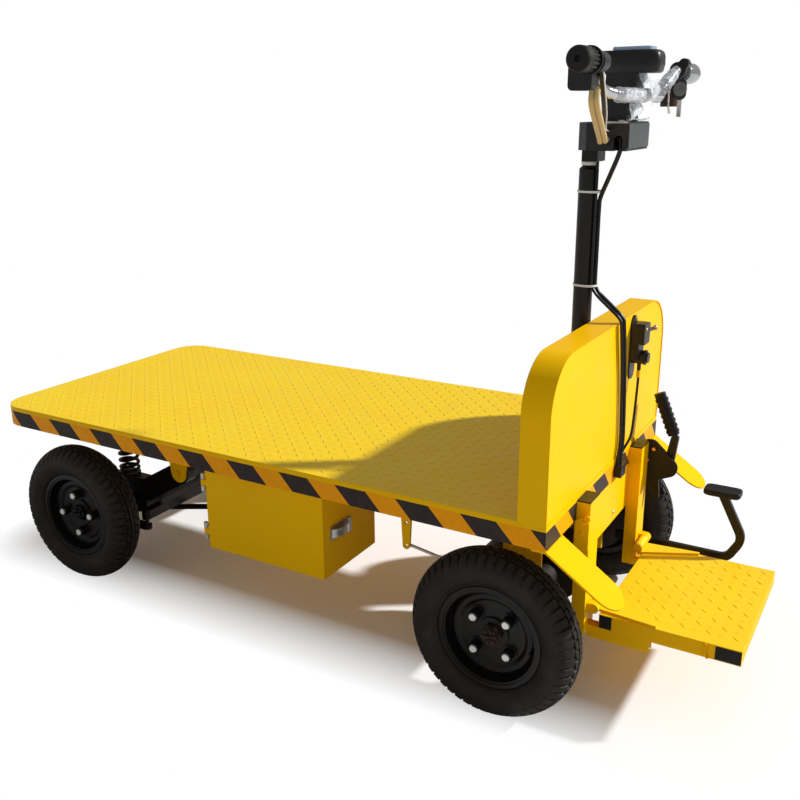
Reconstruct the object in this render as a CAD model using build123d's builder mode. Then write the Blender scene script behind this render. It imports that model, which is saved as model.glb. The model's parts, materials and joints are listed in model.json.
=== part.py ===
"""Stand-on electric platform cart: flat chequer-plate deck, headboard, tall steering column,
fold-up driver's step, sprung steer axle at the far end and a driven rear axle.

Millimetres. +X points forward (away from the driver), +Y to the driver's left, +Z up.
The origin lies on the ground under the middle of the whole cart.
"""
from build123d import *
import math
import os

os.makedirs("parts", exist_ok=True)

# Deck
deck_length = 1615.0
deck_width = 776.0
deck_top = 470.0
plate_thickness = 4.0
deck_corner_radius = 75.0
rail_height = 49.0
rail_width = 30.0
cross_member_width = 40.0
cross_member_height = 40.0
rear_cross_setback = 190.0
box_rear_cross_setback = 520.0
box_front_cross_setback = 910.0
front_cross_setback = 1500.0

# Driver's step
step_reach = 352.0
step_width = 388.0
step_top = 198.0
step_thickness = 34.0
step_sheet = 3.0
step_post_gap = 26.0
hinge_pin_radius = 6.0
hinge_barrel_radius = 11.0
hinge_barrel_length = 60.0
hinge_rise = 14.0
hinge_post_gap = 4.0
hinge_lug_width = 20.0
hinge_lug_gap = 1.0
strap_sheet = 6.0
strap_reach = 122.0
strap_tip = 8.0
step_rest_reach = 135.0
step_rest_height = 29.0
step_rest_width = 25.0
step_rest_inset = 20.0
step_rest_gap = 1.0

# Headboard
headboard_height = 324.0
headboard_thickness = 61.0
headboard_corner_radius = 112.0
headboard_sheet = 3.0
headboard_lip = 2.0

# Wheels
tyre_radius = 190.0
tyre_width = 92.0
tyre_wall_radius = 150.0
tyre_shoulder_radius = 178.0
tyre_shoulder_inset = 12.0
tyre_flank_rise = 4.0
tyre_flank_reach = 2.0
rim_radius = 102.0
rim_flange_radius = 116.0
rim_width = 64.0
rim_sheet = 4.0
rim_lip_step = 5.0
rim_lip_depth = 2.5
bead_clearance = 0.3
disc_offset = 4.0
disc_sheet = 5.0
ring_outer_radius = 89.0
ring_inner_radius = 80.0
ring_height = 7.0
dish_radius = 72.0
hub_radius = 31.0
hub_depth = 30.0
hub_boss_radius = 35.0
hub_boss_height = 5.0
hub_nut_radius = 20.0
hub_nut_height = 16.0
stud_circle_radius = 53.0
stud_count = 4
stud_pad_radius = 17.0
stud_pad_height = 3.0
stud_radius = 7.0
stud_length = 16.0
rear_stud_turn = 46.8
front_stud_turn = 94.0
spindle_radius = 15.0
running_clearance = 0.05
wheel_track = 712.0
rear_axle_setback = 117.0
wheelbase = 1240.5

# Posts and panel at the driver's end
post_width = 60.0
post_depth = 30.0
post_wall = 3.0
post_inset = 9.0
post_top = 458.0
post_bottom = 150.0
post_cap_height = 3.0
post_ear_sheet = 4.0
post_ear_bottom = 343.0
post_ear_top = 425.0
rear_panel_sheet = 3.0
rear_panel_bottom = 305.0

# Mudguard strips
mudguard_width = 90.0
mudguard_sheet = 4.0
mudguard_reach = 176.0
mudguard_slope = 34.5
mudguard_fold = 3.0

# Battery box
box_front_setback = 890.0
box_length = 350.0
box_depth = 218.0
box_inset = 22.0
box_bottom = 203.0
box_sheet = 3.0
door_thickness = 3.0
door_gap = 1.0
door_hinge_radius = 5.0
door_pin_radius = 2.5
door_hinge_length = 46.0
door_hinge_inset = 42.0
hinge_leaf_width = 34.0
hinge_leaf_sheet = 2.0
hinge_leaf_inset = 3.0
battery_clearance = 8.0
battery_height = 168.0
clasp_inset = 22.0
clasp_length = 78.0
clasp_height = 34.0
clasp_rise = 105.0
clasp_sheet = 3.0
clasp_strap = 20.0
clasp_bow = 15.0
clasp_pivot = 6.0

# Steering column
column_setback = 85.0
column_radius = 20.5
column_bottom = 310.0
column_shoulder = 1118.0
column_neck_radius = 14.0
column_shoulder_rise = 7.0
neck_bracket_length = 34.0
neck_bracket_width = 50.0
neck_bracket_height = 24.0
neck_bracket_lead = 9.0
bearing_radius = 36.0
bearing_depth = 40.0
bearing_rise = 18.0
bearing_flange_half = 60.0
bearing_flange = 8.0
bearing_notch_gap = 2.0
steer_arm_length = 130.0
steer_arm_thickness = 12.0
steer_arm_width = 26.0
link_radius = 8.0
link_eye_radius = 15.0
link_eye_height = 16.0
link_eye_gap = 6.0
link_pin_radius = 6.0
link_pin_tail = 3.0
open_pivot_clearance = 0.5

# Steer axle
axle_beam_setback = 1290.0
axle_beam_width = 36.0
axle_beam_height = 38.0
axle_beam_bottom = 145.0
axle_beam_end = 205.0
axle_horn_width = 28.0
kingpin_spacing = 500.0
kingpin_radius = 9.0
kingpin_boss_radius = 18.0
kingpin_boss_bottom = 137.0
kingpin_boss_top = 228.0
knuckle_ear_thickness = 12.0
knuckle_ear_gap = 1.0
knuckle_ear_margin = 2.0
knuckle_boss_gap = 6.0
knuckle_plate_thickness = 12.0
knuckle_plate_width = 52.0
tie_rod_size = 26.0
tie_rod_bottom = 154.0
tie_pin_tail = 4.0

# Swing arms and springs
arm_spacing = 370.0
arm_width = 36.0
arm_height = 62.0
arm_wall = 6.0
arm_lip = 4.0
arm_pivot_setback = 1135.0
arm_pivot_height = 292.0
arm_pivot_lead = 8.0
arm_heel_setback = 30.0
arm_neck_setback = 12.0
arm_nose_reach = 88.0
arm_bolt_radius = 8.0
arm_bolt_tail = 8.0
arm_bracket_plate = 5.0
arm_bracket_top_width = 80.0
arm_bracket_eye_radius = 26.0
spring_reach = 56.0
spring_radius = 30.0
spring_wire_radius = 6.0
spring_turns = 7
spring_core_radius = 19.0
spring_seat_height = 5.0

# Driven rear axle
axle_tube_radius = 30.0
axle_tube_length = 560.0
differential_radius = 78.0
brake_plate_radius = 82.0
brake_plate_width = 26.0
motor_radius = 62.0
motor_length = 150.0
motor_lead = 105.0
gear_case_width = 90.0
hanger_spacing = 430.0
hanger_width = 90.0
hanger_plate = 8.0
hanger_foot = 14.0

# Brake relay and rod
relay_setback = 362.0
relay_tyre_gap = 12.0
relay_bottom = 296.0
relay_sheet = 6.0
relay_top_radius = 15.0
relay_foot_radius = 9.0
relay_hole_radius = 4.0
brake_rod_radius = 3.5
brake_rod_front_rise = 8.0
brake_rod_rear_height = 262.0
brake_rod_rear_lead = 40.0
brake_rod_rear_inset = 24.0

# Foot brake
pedal_post_gap = 5.0
pedal_bar_width = 20.0
pedal_bar_thickness = 12.0
pedal_front_reach = 40.0
pedal_low_reach = 236.0
pedal_heel_reach = 268.0
pedal_top_reach = 210.0
pedal_low_height = 190.0
pedal_heel_height = 246.0
pedal_top_height = 358.0
pedal_heel_bend = 30.0
pedal_shin_bend = 40.0
pedal_trim_share = 0.15
pedal_pad_length = 86.0
pedal_pad_width = 48.0
pedal_pad_thickness = 12.0
pedal_pad_corner = 10.0
pedal_pad_slope = 20.0
pedal_boss_radius = 16.0

# Handbrake
quadrant_sheet = 6.0
quadrant_upper = (34.0, 438.0, 26.0)
quadrant_pivot = (78.0, 398.0, 25.0)
quadrant_lower = (34.0, 378.0, 24.0)
quadrant_tail = (56.0, 318.0, 8.0)
lever_thickness = 12.0
lever_foot_radius = 12.0
lever_head_radius = 9.0
lever_head_reach = 89.0
lever_head_height = 473.0
seat_gap = 0.2
lever_grip_length = 108.0
lever_grip_width = 22.0
lever_grip_depth = 28.0
lever_grip_lean = 23.0
lever_rib_count = 7
lever_rib_width = 6.0
lever_rib_pitch = 13.5
lever_rib_proud = 2.0

# Switch unit on the headboard panel
switch_y = -118.0
switch_plate_width = 40.0
switch_plate_bottom = 640.0
switch_plate_top = 790.0
switch_plate_sheet = 4.0
switch_hole_radius = 5.0
switch_body_width = 44.0
switch_body_depth = 30.0
switch_body_bottom = 726.0
switch_body_top = 774.0
switch_body_corner = 6.0
knob_height = 694.0
knob_radius = 16.0
knob_depth = 32.0
knob_cap_radius = 12.0
knob_cap_depth = 5.0
switch_lever_radius = 4.0
switch_lever_ball = 6.0
switch_lever_reach = 46.0
switch_lever_lean = 14.0
strain_relief_radius = 4.5
strain_relief_drop = 30.0

# Control box on the column
control_rear_reach = 14.0
control_length = 108.0
control_width = 144.0
control_low = 1158.0
control_height = 55.0
control_chamfer = 24.0
control_notch_radius = 8.5
control_notch_setback = 18.0
control_notch_height = 30.0
control_notch_depth = 34.0
lens_sheet = 3.0
lens_inset = 3.0
lens_foot = 5.0

# Handlebar group
bar_radius = 11.0
bar_height = 1264.0
bar_setback = 18.0
bar_half_width = 383.0
bar_centre_half = 150.0
bar_bend_half = 248.0
bar_bend_radius = 35.0
grip_height = 1318.0
grip_setback = -20.0
grip_sweep = 4.0
grip_radius = 17.5
grip_length = 80.0
grip_cap = 10.0
grip_hole_radius = 5.0
grip_hole_depth = 6.0
grip_edge = 3.0
grip_flange_radius = 21.0
grip_flange_width = 7.0
riser_length = 44.0
riser_width = 80.0
riser_lead = 26.0
clamp_gap = 1.0
pod_length = 110.0
pod_width = 60.0
pod_bottom = 1308.0
pod_height = 40.0
pod_corner = 14.0
pod_edge = 5.0
pod_trail = 18.0
pod_neck_length = 66.0
pod_neck_width = 56.0
glass_length = 80.0
glass_width = 44.0
glass_height = 8.0
glass_corner = 10.0
glass_edge = 2.0
glass_lead = 4.0
control_collar_radius = 18.0
control_collar_width = 38.0
control_collar_gap = 3.0
horn_length = 44.0
horn_height = 46.0
horn_lead = 47.0
horn_drop = 48.0
horn_corner = 9.0
perch_radius = 11.0
perch_rise = 14.0
perch_fall = 32.0
perch_back = 12.0
perch_lead = 20.0
perch_width = 21.0
lock_radius = 19.0
lock_height = 48.0
lock_drop = 77.0
lock_lead = 16.0
lock_offset = 10.0
fob_radius = 13.0
fob_length = 20.0
fob_sheet = 5.0
fob_back = 12.0
fob_stand = 8.0
fob_drop = 40.0
key_width = 8.0
key_length = 36.0
key_sheet = 2.5
key_stem_radius = 4.0

# Cables
cable_radius = 5.0
thin_cable_radius = 3.5
switch_cable_radius = 3.0
wire_radius = 4.0
wire_pitch = 9.5
fine_wire_radius = 2.5
cable_seat_gap = 0.4
thin_cable_turn = 28.0
notch_cable_rise = 6.4
cable_bend_share = 0.45
wire_entry_rise = 14.0
fine_wire_entry_rise = 38.0
fine_wire_drop = 28.0
loom_slack = 8.0
cable_drape = 28.0
cable_tail = 25.0
cable_face_gap = 2.0
cable_tie_height = 873.0
cable_joint_gap = 0.3
gland_bottom = 424.0
gland_top = 452.0
gland_depth = 16.0
gland_middle = -48.0
gland_width = 40.0

# Derived places
overall_length = deck_length + step_reach
rear = step_reach - overall_length / 2
front = rear + deck_length
half_width = deck_width / 2
inner_half = half_width - rail_width
rail_top = deck_top - plate_thickness
rail_bottom = rail_top - rail_height
rear_axle_x = rear + rear_axle_setback
front_axle_x = rear_axle_x + wheelbase
axle_height = tyre_radius
half_track = wheel_track / 2
column_x = rear + column_setback
kingpin_y = kingpin_spacing / 2
box_outer_y = half_width - box_inset
step_half = step_width / 2
post_y = step_half - post_inset
post_outer = post_y + post_width / 2
plate_rear = rear + headboard_thickness
headboard_top = deck_top + headboard_height
SIDES = [("left", 1), ("right", -1)]
LOW = (Align.CENTER, Align.CENTER, Align.MIN)


def save(builder, label):
    """Name one finished piece and write it."""
    builder.part.label = label
    export_step(builder.part, "parts/" + label + ".step")


def block(x, y, z, mode=Mode.ADD):
    """Box between pairs of limits along X, Y and Z."""
    middle = ((x[0] + x[1]) / 2, (y[0] + y[1]) / 2, (z[0] + z[1]) / 2)
    with Locations(middle):
        Box(x[1] - x[0], y[1] - y[0], z[1] - z[0], mode=mode)


def around(middle, width):
    """Limits of a width about its middle."""
    return (middle - width / 2, middle + width / 2)


def round_bar(start, end, radius, mode=Mode.ADD):
    """Straight round bar from one point to another."""
    axis = Vector(*end) - Vector(*start)
    with Locations(Plane(origin=start, z_dir=axis)):
        Cylinder(radius, axis.length, align=LOW, mode=mode)


def bent_bar(points, radii, radius):
    """Round bar along straight runs joined by tangent arcs."""
    with BuildLine(mode=Mode.PRIVATE) as route:
        FilletPolyline(*points, radius=radii)
    path = route.wires()[0]
    with BuildSketch(Plane(origin=path @ 0, z_dir=path % 0), mode=Mode.PRIVATE) as section:
        Circle(radius)
    sweep(sections=section.sketch, path=path)


def cable(points, radius):
    """Round cable whose arcs are as large as the shorter run beside each allows."""
    spots = [Vector(*point) for point in points]
    runs = [after - before for before, after in zip(spots, spots[1:])]
    radii = []
    for run, after in zip(runs, runs[1:]):
        half_turn = math.radians(run.get_angle(after)) / 2
        radii.append(cable_bend_share * min(run.length, after.length) / math.tan(half_turn))
    bent_bar(points, radii, radius)


def side_plate(outline, y, mode=Mode.ADD):
    """Flat plate with an outline in X and Z, between two Y limits."""
    with BuildSketch(Plane.XZ.offset(-y[1]), mode=Mode.PRIVATE) as face:
        with BuildLine():
            Polyline(*outline, close=True)
        make_face()
    extrude(face.sketch, amount=y[1] - y[0], mode=mode)


def hull_plate(circles, y):
    """Flat plate stretched round circles, each of X, Z and radius, between two Y limits."""
    with BuildSketch(Plane.XZ.offset(-y[1]), mode=Mode.PRIVATE) as face:
        for x, z, radius in circles:
            with Locations((x, z)):
                Circle(radius)
        make_hull()
    extrude(face.sketch, amount=y[1] - y[0])


# Deck plate with rounded front corners, notched at the headboard for the column bearing
notch_half = bearing_radius + bearing_notch_gap
with BuildPart() as deck_plate:
    with BuildSketch(Plane.XY.offset(rail_top)) as plate_face:
        with Locations(((plate_rear + front) / 2, 0)):
            Rectangle(front - plate_rear, deck_width)
        fillet(plate_face.vertices().group_by(Axis.X)[-1], deck_corner_radius)
        with Locations((column_x, 0)):
            Circle(notch_half, mode=Mode.SUBTRACT)
        with Locations(((plate_rear + column_x) / 2, 0)):
            Rectangle(column_x - plate_rear, 2 * notch_half, mode=Mode.SUBTRACT)
    extrude(amount=plate_thickness)
save(deck_plate, "deck_plate")

# Side rails, straight between the rear rail and the rounded front rail
front_rail_start = front - deck_corner_radius - rail_width
with BuildPart() as side_rails:
    for name, side in SIDES:
        middle = side * (half_width - rail_width / 2)
        block((rear, front_rail_start), around(middle, rail_width), (rail_bottom, rail_top))
save(side_rails, "side_rails")

# Front rail, bent round both front corners
with BuildPart() as front_rail:
    with BuildSketch(Plane.XY.offset(rail_bottom)) as front_rail_face:
        with Locations(((front_rail_start + front) / 2, 0)):
            Rectangle(front - front_rail_start, deck_width)
        fillet(front_rail_face.vertices().group_by(Axis.X)[-1], deck_corner_radius)
        with BuildSketch(mode=Mode.PRIVATE) as front_rail_hollow:
            inner_length = front - rail_width - front_rail_start
            with Locations((front_rail_start + inner_length / 2, 0)):
                Rectangle(inner_length, deck_width - 2 * rail_width)
            inner_radius = deck_corner_radius - rail_width
            fillet(front_rail_hollow.vertices().group_by(Axis.X)[-1], inner_radius)
        add(front_rail_hollow.sketch, mode=Mode.SUBTRACT)
    extrude(amount=rail_height)
save(front_rail, "front_rail")

# Rear rail between the side rails
with BuildPart() as rear_rail:
    block((rear, rear + rail_width), (-inner_half, inner_half), (rail_bottom, rail_top))
save(rear_rail, "rear_rail")

# Cross members under the plate, at their middles' setbacks; the relay's one is as deep as the rails
spring_setback = axle_beam_setback + spring_reach
cross_bottom = rail_top - cross_member_height
relay_x = rear + relay_setback
cross_setbacks = [
    rear_cross_setback,
    box_rear_cross_setback,
    box_front_cross_setback,
    arm_pivot_setback,
    spring_setback,
    front_cross_setback,
]
with BuildPart() as cross_members:
    for setback in cross_setbacks:
        block(around(rear + setback, cross_member_width), (-inner_half, inner_half), (cross_bottom, rail_top))
    block(around(relay_x, cross_member_width), (-inner_half, inner_half), (rail_bottom, rail_top))
save(cross_members, "cross_members")


# Headboard: folded sheet, open towards the driver, closed by a panel set inside its lip
def headboard_outline(inset, low):
    """Headboard outline in Y and Z with both top corners rounded."""
    with BuildSketch(Plane.YZ, mode=Mode.PRIVATE) as outline:
        with Locations((0, (low + headboard_top - inset) / 2)):
            Rectangle(deck_width - 2 * inset, headboard_top - inset - low)
        fillet(outline.vertices().group_by(Axis.Y)[-1], headboard_corner_radius - inset)
    return outline.sketch


with BuildPart() as headboard:
    extrude(Pos(rear, 0, 0) * headboard_outline(0, rail_top), amount=headboard_thickness)
    hollow = headboard_outline(headboard_sheet, rail_top + headboard_sheet)
    extrude(Pos(rear, 0, 0) * hollow, amount=headboard_thickness - headboard_sheet, mode=Mode.SUBTRACT)
save(headboard, "headboard")

with BuildPart() as headboard_panel:
    panel_face = headboard_outline(headboard_sheet, rail_top + headboard_sheet)
    extrude(Pos(rear + headboard_lip, 0, 0) * panel_face, amount=headboard_sheet)
save(headboard_panel, "headboard_panel")

# Rear posts: upright rectangular tubes on the driver's face of the rear rail, the left one with an ear plate
post_rear = rear - post_depth
post_x = (post_rear, rear)
with BuildPart() as rear_posts:
    for name, side in SIDES:
        wide = around(side * post_y, post_width)
        block(post_x, wide, (post_bottom, post_top))
        bore_x = (post_x[0] + post_wall, post_x[1] - post_wall)
        bore_y = (wide[0] + post_wall, wide[1] - post_wall)
        block(bore_x, bore_y, (post_bottom, post_top), mode=Mode.SUBTRACT)
    ear_radius = post_depth / 2
    ear_y = (post_outer, post_outer + post_ear_sheet)
    ear_middle = rear - ear_radius
    ear_ends = [post_ear_bottom + ear_radius, post_ear_top - ear_radius]
    hull_plate([(ear_middle, height, ear_radius) for height in ear_ends], ear_y)
save(rear_posts, "rear_posts")

with BuildPart() as post_caps:
    for name, side in SIDES:
        block(post_x, around(side * post_y, post_width), (post_top, post_top + post_cap_height))
save(post_caps, "post_caps")

# Panel hung under the rear rail between the posts
with BuildPart() as rear_panel:
    block((rear, rear + rear_panel_sheet), (-post_outer, post_outer), (rear_panel_bottom, rail_bottom))
save(rear_panel, "rear_panel")

# Mudguard strips: flat plates that slope down behind the rear wheels, with round ends
mudguard_angle = math.radians(mudguard_slope)
with BuildPart() as mudguards:
    for name, side in SIDES:
        strip_y = side * (half_width - mudguard_width / 2)
        slope = Plane(
            origin=(rear, strip_y, rail_bottom - mudguard_sheet),
            x_dir=(-math.cos(mudguard_angle), 0, -math.sin(mudguard_angle)),
            z_dir=(-math.sin(mudguard_angle), 0, math.cos(mudguard_angle)),
        )
        with BuildSketch(slope):
            straight = mudguard_reach - mudguard_width / 2
            with Locations((straight / 2, 0)):
                Rectangle(straight, mudguard_width)
            with Locations((straight, 0)):
                Circle(mudguard_width / 2)
        extrude(amount=mudguard_sheet)
        tab_z = (rail_bottom - mudguard_sheet, rail_bottom)
        block((rear - mudguard_fold, rear + rail_width), around(strip_y, mudguard_width), tab_z)
save(mudguards, "mudguards")

# Battery box: sheet box under the left of the deck, open on its outer side
box_x = (rear + box_front_setback - box_length, rear + box_front_setback)
box_y = (box_outer_y - box_depth, box_outer_y)
box_z = (box_bottom, rail_bottom)
inside_x = (box_x[0] + box_sheet, box_x[1] - box_sheet)
inside_y = (box_y[0] + box_sheet, box_y[1])
inside_z = (box_z[0] + box_sheet, box_z[1] - box_sheet)
with BuildPart() as battery_box:
    block(box_x, box_y, box_z)
    block(inside_x, inside_y, inside_z, mode=Mode.SUBTRACT)
save(battery_box, "battery_box")

with BuildPart() as battery_pack:
    pack_x = (inside_x[0] + battery_clearance, inside_x[1] - battery_clearance)
    pack_y = (inside_y[0], inside_y[1] - battery_clearance)
    block(pack_x, pack_y, (inside_z[0], inside_z[0] + battery_height))
save(battery_pack, "battery_pack")

# Box door and its two barrel hinges on the front edge
hinge_x = box_x[1] + door_hinge_radius + door_gap
hinge_y = box_outer_y + door_gap + door_thickness / 2
hinge_heights = [box_z[0] + door_hinge_inset, box_z[1] - door_hinge_inset]
knuckle_length = door_hinge_length / 3
with BuildPart() as box_door:
    door_y = (box_outer_y + door_gap, box_outer_y + door_gap + door_thickness)
    block((box_x[0], box_x[1] - door_hinge_radius), door_y, box_z)
    for height in hinge_heights:
        block((box_x[1] - door_hinge_radius, hinge_x), door_y, around(height, knuckle_length))
        with Locations((hinge_x, hinge_y, height)):
            Cylinder(door_hinge_radius, knuckle_length)
            Cylinder(door_pin_radius + running_clearance, knuckle_length, mode=Mode.SUBTRACT)
save(box_door, "box_door")

with BuildPart() as box_hinges:
    leaf_x = (box_x[1], box_x[1] + hinge_leaf_sheet)
    leaf_y = (box_outer_y - hinge_leaf_width, box_outer_y - hinge_leaf_inset)
    end_length = (door_hinge_length - knuckle_length) / 2 - door_gap
    end_offset = (door_hinge_length - end_length) / 2
    for height in hinge_heights:
        block(leaf_x, leaf_y, around(height, door_hinge_length))
        for end in (-1, 1):
            middle = height + end * end_offset
            block(leaf_x, (leaf_y[1], hinge_y), around(middle, end_length))
            with Locations((hinge_x, hinge_y, middle)):
                Cylinder(door_hinge_radius, end_length)
        with Locations((hinge_x, hinge_y, height)):
            Cylinder(door_pin_radius, door_hinge_length)
save(box_hinges, "box_hinges")

# Over-centre clasp on the rear face of the battery box: base plate, bowed strap and pivot
with BuildPart() as box_clasp:
    clasp_z = box_bottom + clasp_rise
    clasp_y = (box_outer_y - clasp_inset - clasp_length, box_outer_y - clasp_inset)
    clasp_face = box_x[0] - clasp_sheet
    block((clasp_face, box_x[0]), clasp_y, around(clasp_z, clasp_height))
    with BuildSketch(Plane.XY.offset(clasp_z - clasp_strap / 2)):
        with BuildLine():
            ThreePointArc(
                (clasp_face, clasp_y[0] + clasp_pivot),
                (clasp_face - clasp_bow, (clasp_y[0] + clasp_y[1]) / 2),
                (clasp_face, clasp_y[1] - clasp_pivot),
            )
        trace(line_width=clasp_sheet)
    extrude(amount=clasp_strap)
    with Locations((clasp_face - clasp_pivot / 2, clasp_y[0] + clasp_pivot, clasp_z)):
        Cylinder(clasp_pivot, clasp_height)
save(box_clasp, "box_clasp")

# Swing arms of the sprung front end: channels open inwards, with a lip along the top and a round pivot eye
arm_y = arm_spacing / 2
arm_pivot_x = rear + arm_pivot_setback
axle_beam_x = rear + axle_beam_setback
axle_beam_top = axle_beam_bottom + axle_beam_height
arm_top = axle_beam_top + arm_height
arm_nose_x = axle_beam_x + arm_nose_reach
arm_half = arm_height / 2
arm_outline = [
    (arm_pivot_x - arm_pivot_lead, arm_pivot_height - arm_half),
    (axle_beam_x - arm_heel_setback, axle_beam_top),
    (arm_nose_x, axle_beam_top),
    (arm_nose_x, arm_top),
    (axle_beam_x - arm_neck_setback, arm_top),
    (arm_pivot_x + arm_pivot_lead, arm_pivot_height + arm_half),
]
with BuildPart() as swing_arms:
    for name, side in SIDES:
        arm_limits = around(side * arm_y, arm_width)
        side_plate(arm_outline, arm_limits)
        hollow_limits = around(side * (arm_y - arm_wall / 2), arm_width - arm_wall)
        with BuildSketch(Plane.XZ.offset(-hollow_limits[1]), mode=Mode.PRIVATE) as arm_hollow:
            with BuildLine():
                Polyline(*arm_outline, close=True)
            make_face()
            offset(amount=-arm_wall, kind=Kind.INTERSECTION, mode=Mode.REPLACE)
        extrude(arm_hollow.sketch, amount=arm_width - arm_wall, mode=Mode.SUBTRACT)
        lip_middle = side * (arm_y + (arm_width + arm_lip) / 2)
        block((axle_beam_x, arm_nose_x), around(lip_middle, arm_lip), (arm_top - arm_wall, arm_top))
        eye_low = (arm_pivot_x, arm_limits[0], arm_pivot_height)
        eye_high = (arm_pivot_x, arm_limits[1], arm_pivot_height)
        round_bar(eye_low, eye_high, arm_half)
        round_bar(eye_low, eye_high, arm_bolt_radius, mode=Mode.SUBTRACT)
save(swing_arms, "swing_arms")

# Pivot brackets under the deck: tapered cheeks with round feet, and their bolts
cheek_corner = arm_bracket_plate
cheek_half = arm_bracket_top_width / 2 - cheek_corner
with BuildPart() as arm_brackets:
    for name, side in SIDES:
        for face in (-1, 1):
            cheek_y = side * arm_y + face * (arm_width + arm_bracket_plate) / 2
            cheek = [
                (arm_pivot_x - cheek_half, cross_bottom - cheek_corner, cheek_corner),
                (arm_pivot_x + cheek_half, cross_bottom - cheek_corner, cheek_corner),
                (arm_pivot_x, arm_pivot_height, arm_bracket_eye_radius),
            ]
            hull_plate(cheek, around(cheek_y, arm_bracket_plate))
        bolt_half = arm_width / 2 + arm_bracket_plate + arm_bolt_tail
        round_bar(
            (arm_pivot_x, side * arm_y - bolt_half, arm_pivot_height),
            (arm_pivot_x, side * arm_y + bolt_half, arm_pivot_height),
            arm_bolt_radius,
        )
save(arm_brackets, "arm_brackets")

# Coil springs round their bump stops, between the arms and the deck
spring_x = rear + spring_setback
with BuildPart() as front_springs:
    coil_pitch = (cross_bottom - arm_top - 2 * spring_seat_height) / spring_turns
    coil_radius = spring_radius - spring_wire_radius
    for name, side in SIDES:
        with BuildSketch(Plane(origin=(spring_x, side * arm_y, 0), x_dir=(1, 0, 0), z_dir=(0, -1, 0))):
            with Locations((spring_core_radius / 2, (arm_top + cross_bottom) / 2)):
                Rectangle(spring_core_radius, cross_bottom - arm_top)
            for seat in (arm_top + spring_seat_height / 2, cross_bottom - spring_seat_height / 2):
                with Locations((spring_radius / 2, seat)):
                    Rectangle(spring_radius, spring_seat_height)
            for turn in range(spring_turns):
                height = arm_top + spring_seat_height + (turn + 0.5) * coil_pitch
                with Locations((coil_radius, height)):
                    Circle(spring_wire_radius)
        revolve(axis=Axis((spring_x, side * arm_y, 0), (0, 0, 1)))
save(front_springs, "front_springs")

# Steer axle: beam with horns that reach forward to the kingpin bosses
boss_height = kingpin_boss_top - kingpin_boss_bottom
with BuildPart() as steer_axle:
    beam_x = around(axle_beam_x, axle_beam_width)
    block(beam_x, (-axle_beam_end, axle_beam_end), (axle_beam_bottom, axle_beam_top))
    for name, side in SIDES:
        with BuildSketch(Plane.XY.offset(axle_beam_bottom)):
            with Locations((axle_beam_x, side * (axle_beam_end - axle_beam_width / 2))):
                Circle(axle_beam_width / 2)
            with Locations((front_axle_x, side * kingpin_y)):
                Circle(axle_horn_width / 2)
            make_hull()
        extrude(amount=axle_beam_height)
        with Locations((front_axle_x, side * kingpin_y, kingpin_boss_bottom)):
            Cylinder(kingpin_boss_radius, boss_height, align=LOW)
    for name, side in SIDES:
        with Locations((front_axle_x, side * kingpin_y, kingpin_boss_bottom)):
            Cylinder(kingpin_radius + running_clearance, boss_height, align=LOW, mode=Mode.SUBTRACT)
save(steer_axle, "steer_axle")

# Steering knuckles: forked round the boss, with stub axle, tie-rod arm and, on the left, a drag-link arm
ear_low_top = kingpin_boss_bottom - knuckle_ear_gap
ear_low_bottom = ear_low_top - knuckle_ear_thickness
ear_high_bottom = kingpin_boss_top + knuckle_ear_gap
ear_high_top = ear_high_bottom + knuckle_ear_thickness
plate_inner = kingpin_boss_radius + knuckle_boss_gap
plate_outer = plate_inner + knuckle_plate_thickness
tie_arm_x = front_axle_x - steer_arm_length
tie_rod_top = tie_rod_bottom + tie_rod_size
spindle_tip = half_track + disc_offset + hub_nut_height
link_pin_drop = link_eye_gap + link_eye_height + link_pin_tail
for name, side in SIDES:
    with BuildPart() as knuckle:
        for low, high in ((ear_low_bottom, ear_low_top), (ear_high_bottom, ear_high_top)):
            with Locations((front_axle_x, side * kingpin_y, low)):
                Cylinder(kingpin_boss_radius + knuckle_ear_margin, high - low, align=LOW)
            ear_middle = side * (kingpin_y + plate_outer / 2)
            block(around(front_axle_x, 2 * kingpin_boss_radius), around(ear_middle, plate_outer), (low, high))
        plate_y = around(side * (kingpin_y + (plate_inner + plate_outer) / 2), knuckle_plate_thickness)
        block(around(front_axle_x, knuckle_plate_width), plate_y, (ear_low_bottom, ear_high_top))
        with Locations((front_axle_x, side * kingpin_y, ear_low_bottom)):
            Cylinder(kingpin_radius, ear_high_top - ear_low_bottom, align=LOW)
        round_bar(
            (front_axle_x, side * (kingpin_y + plate_inner), axle_height),
            (front_axle_x, side * spindle_tip, axle_height),
            spindle_radius,
        )
        arm_wide = around(side * kingpin_y, steer_arm_width)
        block((tie_arm_x, front_axle_x), arm_wide, (ear_low_bottom, ear_low_top))
        with Locations((tie_arm_x, side * kingpin_y, ear_low_bottom)):
            Cylinder(steer_arm_width / 2, knuckle_ear_thickness, align=LOW)
            pin = link_pin_radius if side > 0 else link_pin_radius - open_pivot_clearance
            Cylinder(pin, tie_rod_top + tie_pin_tail - ear_low_bottom, align=LOW)
        if side > 0:
            arm_end = kingpin_y - steer_arm_length
            block(around(front_axle_x, steer_arm_width), (arm_end, kingpin_y), (ear_low_bottom, ear_low_top))
            with Locations((front_axle_x, arm_end, ear_low_bottom)):
                Cylinder(steer_arm_width / 2, knuckle_ear_thickness, align=LOW)
            pin_low = ear_low_bottom - link_pin_drop
            with Locations((front_axle_x, arm_end, pin_low)):
                Cylinder(link_pin_radius - open_pivot_clearance, ear_low_top - pin_low, align=LOW)
    save(knuckle, "knuckle_" + name)

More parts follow.
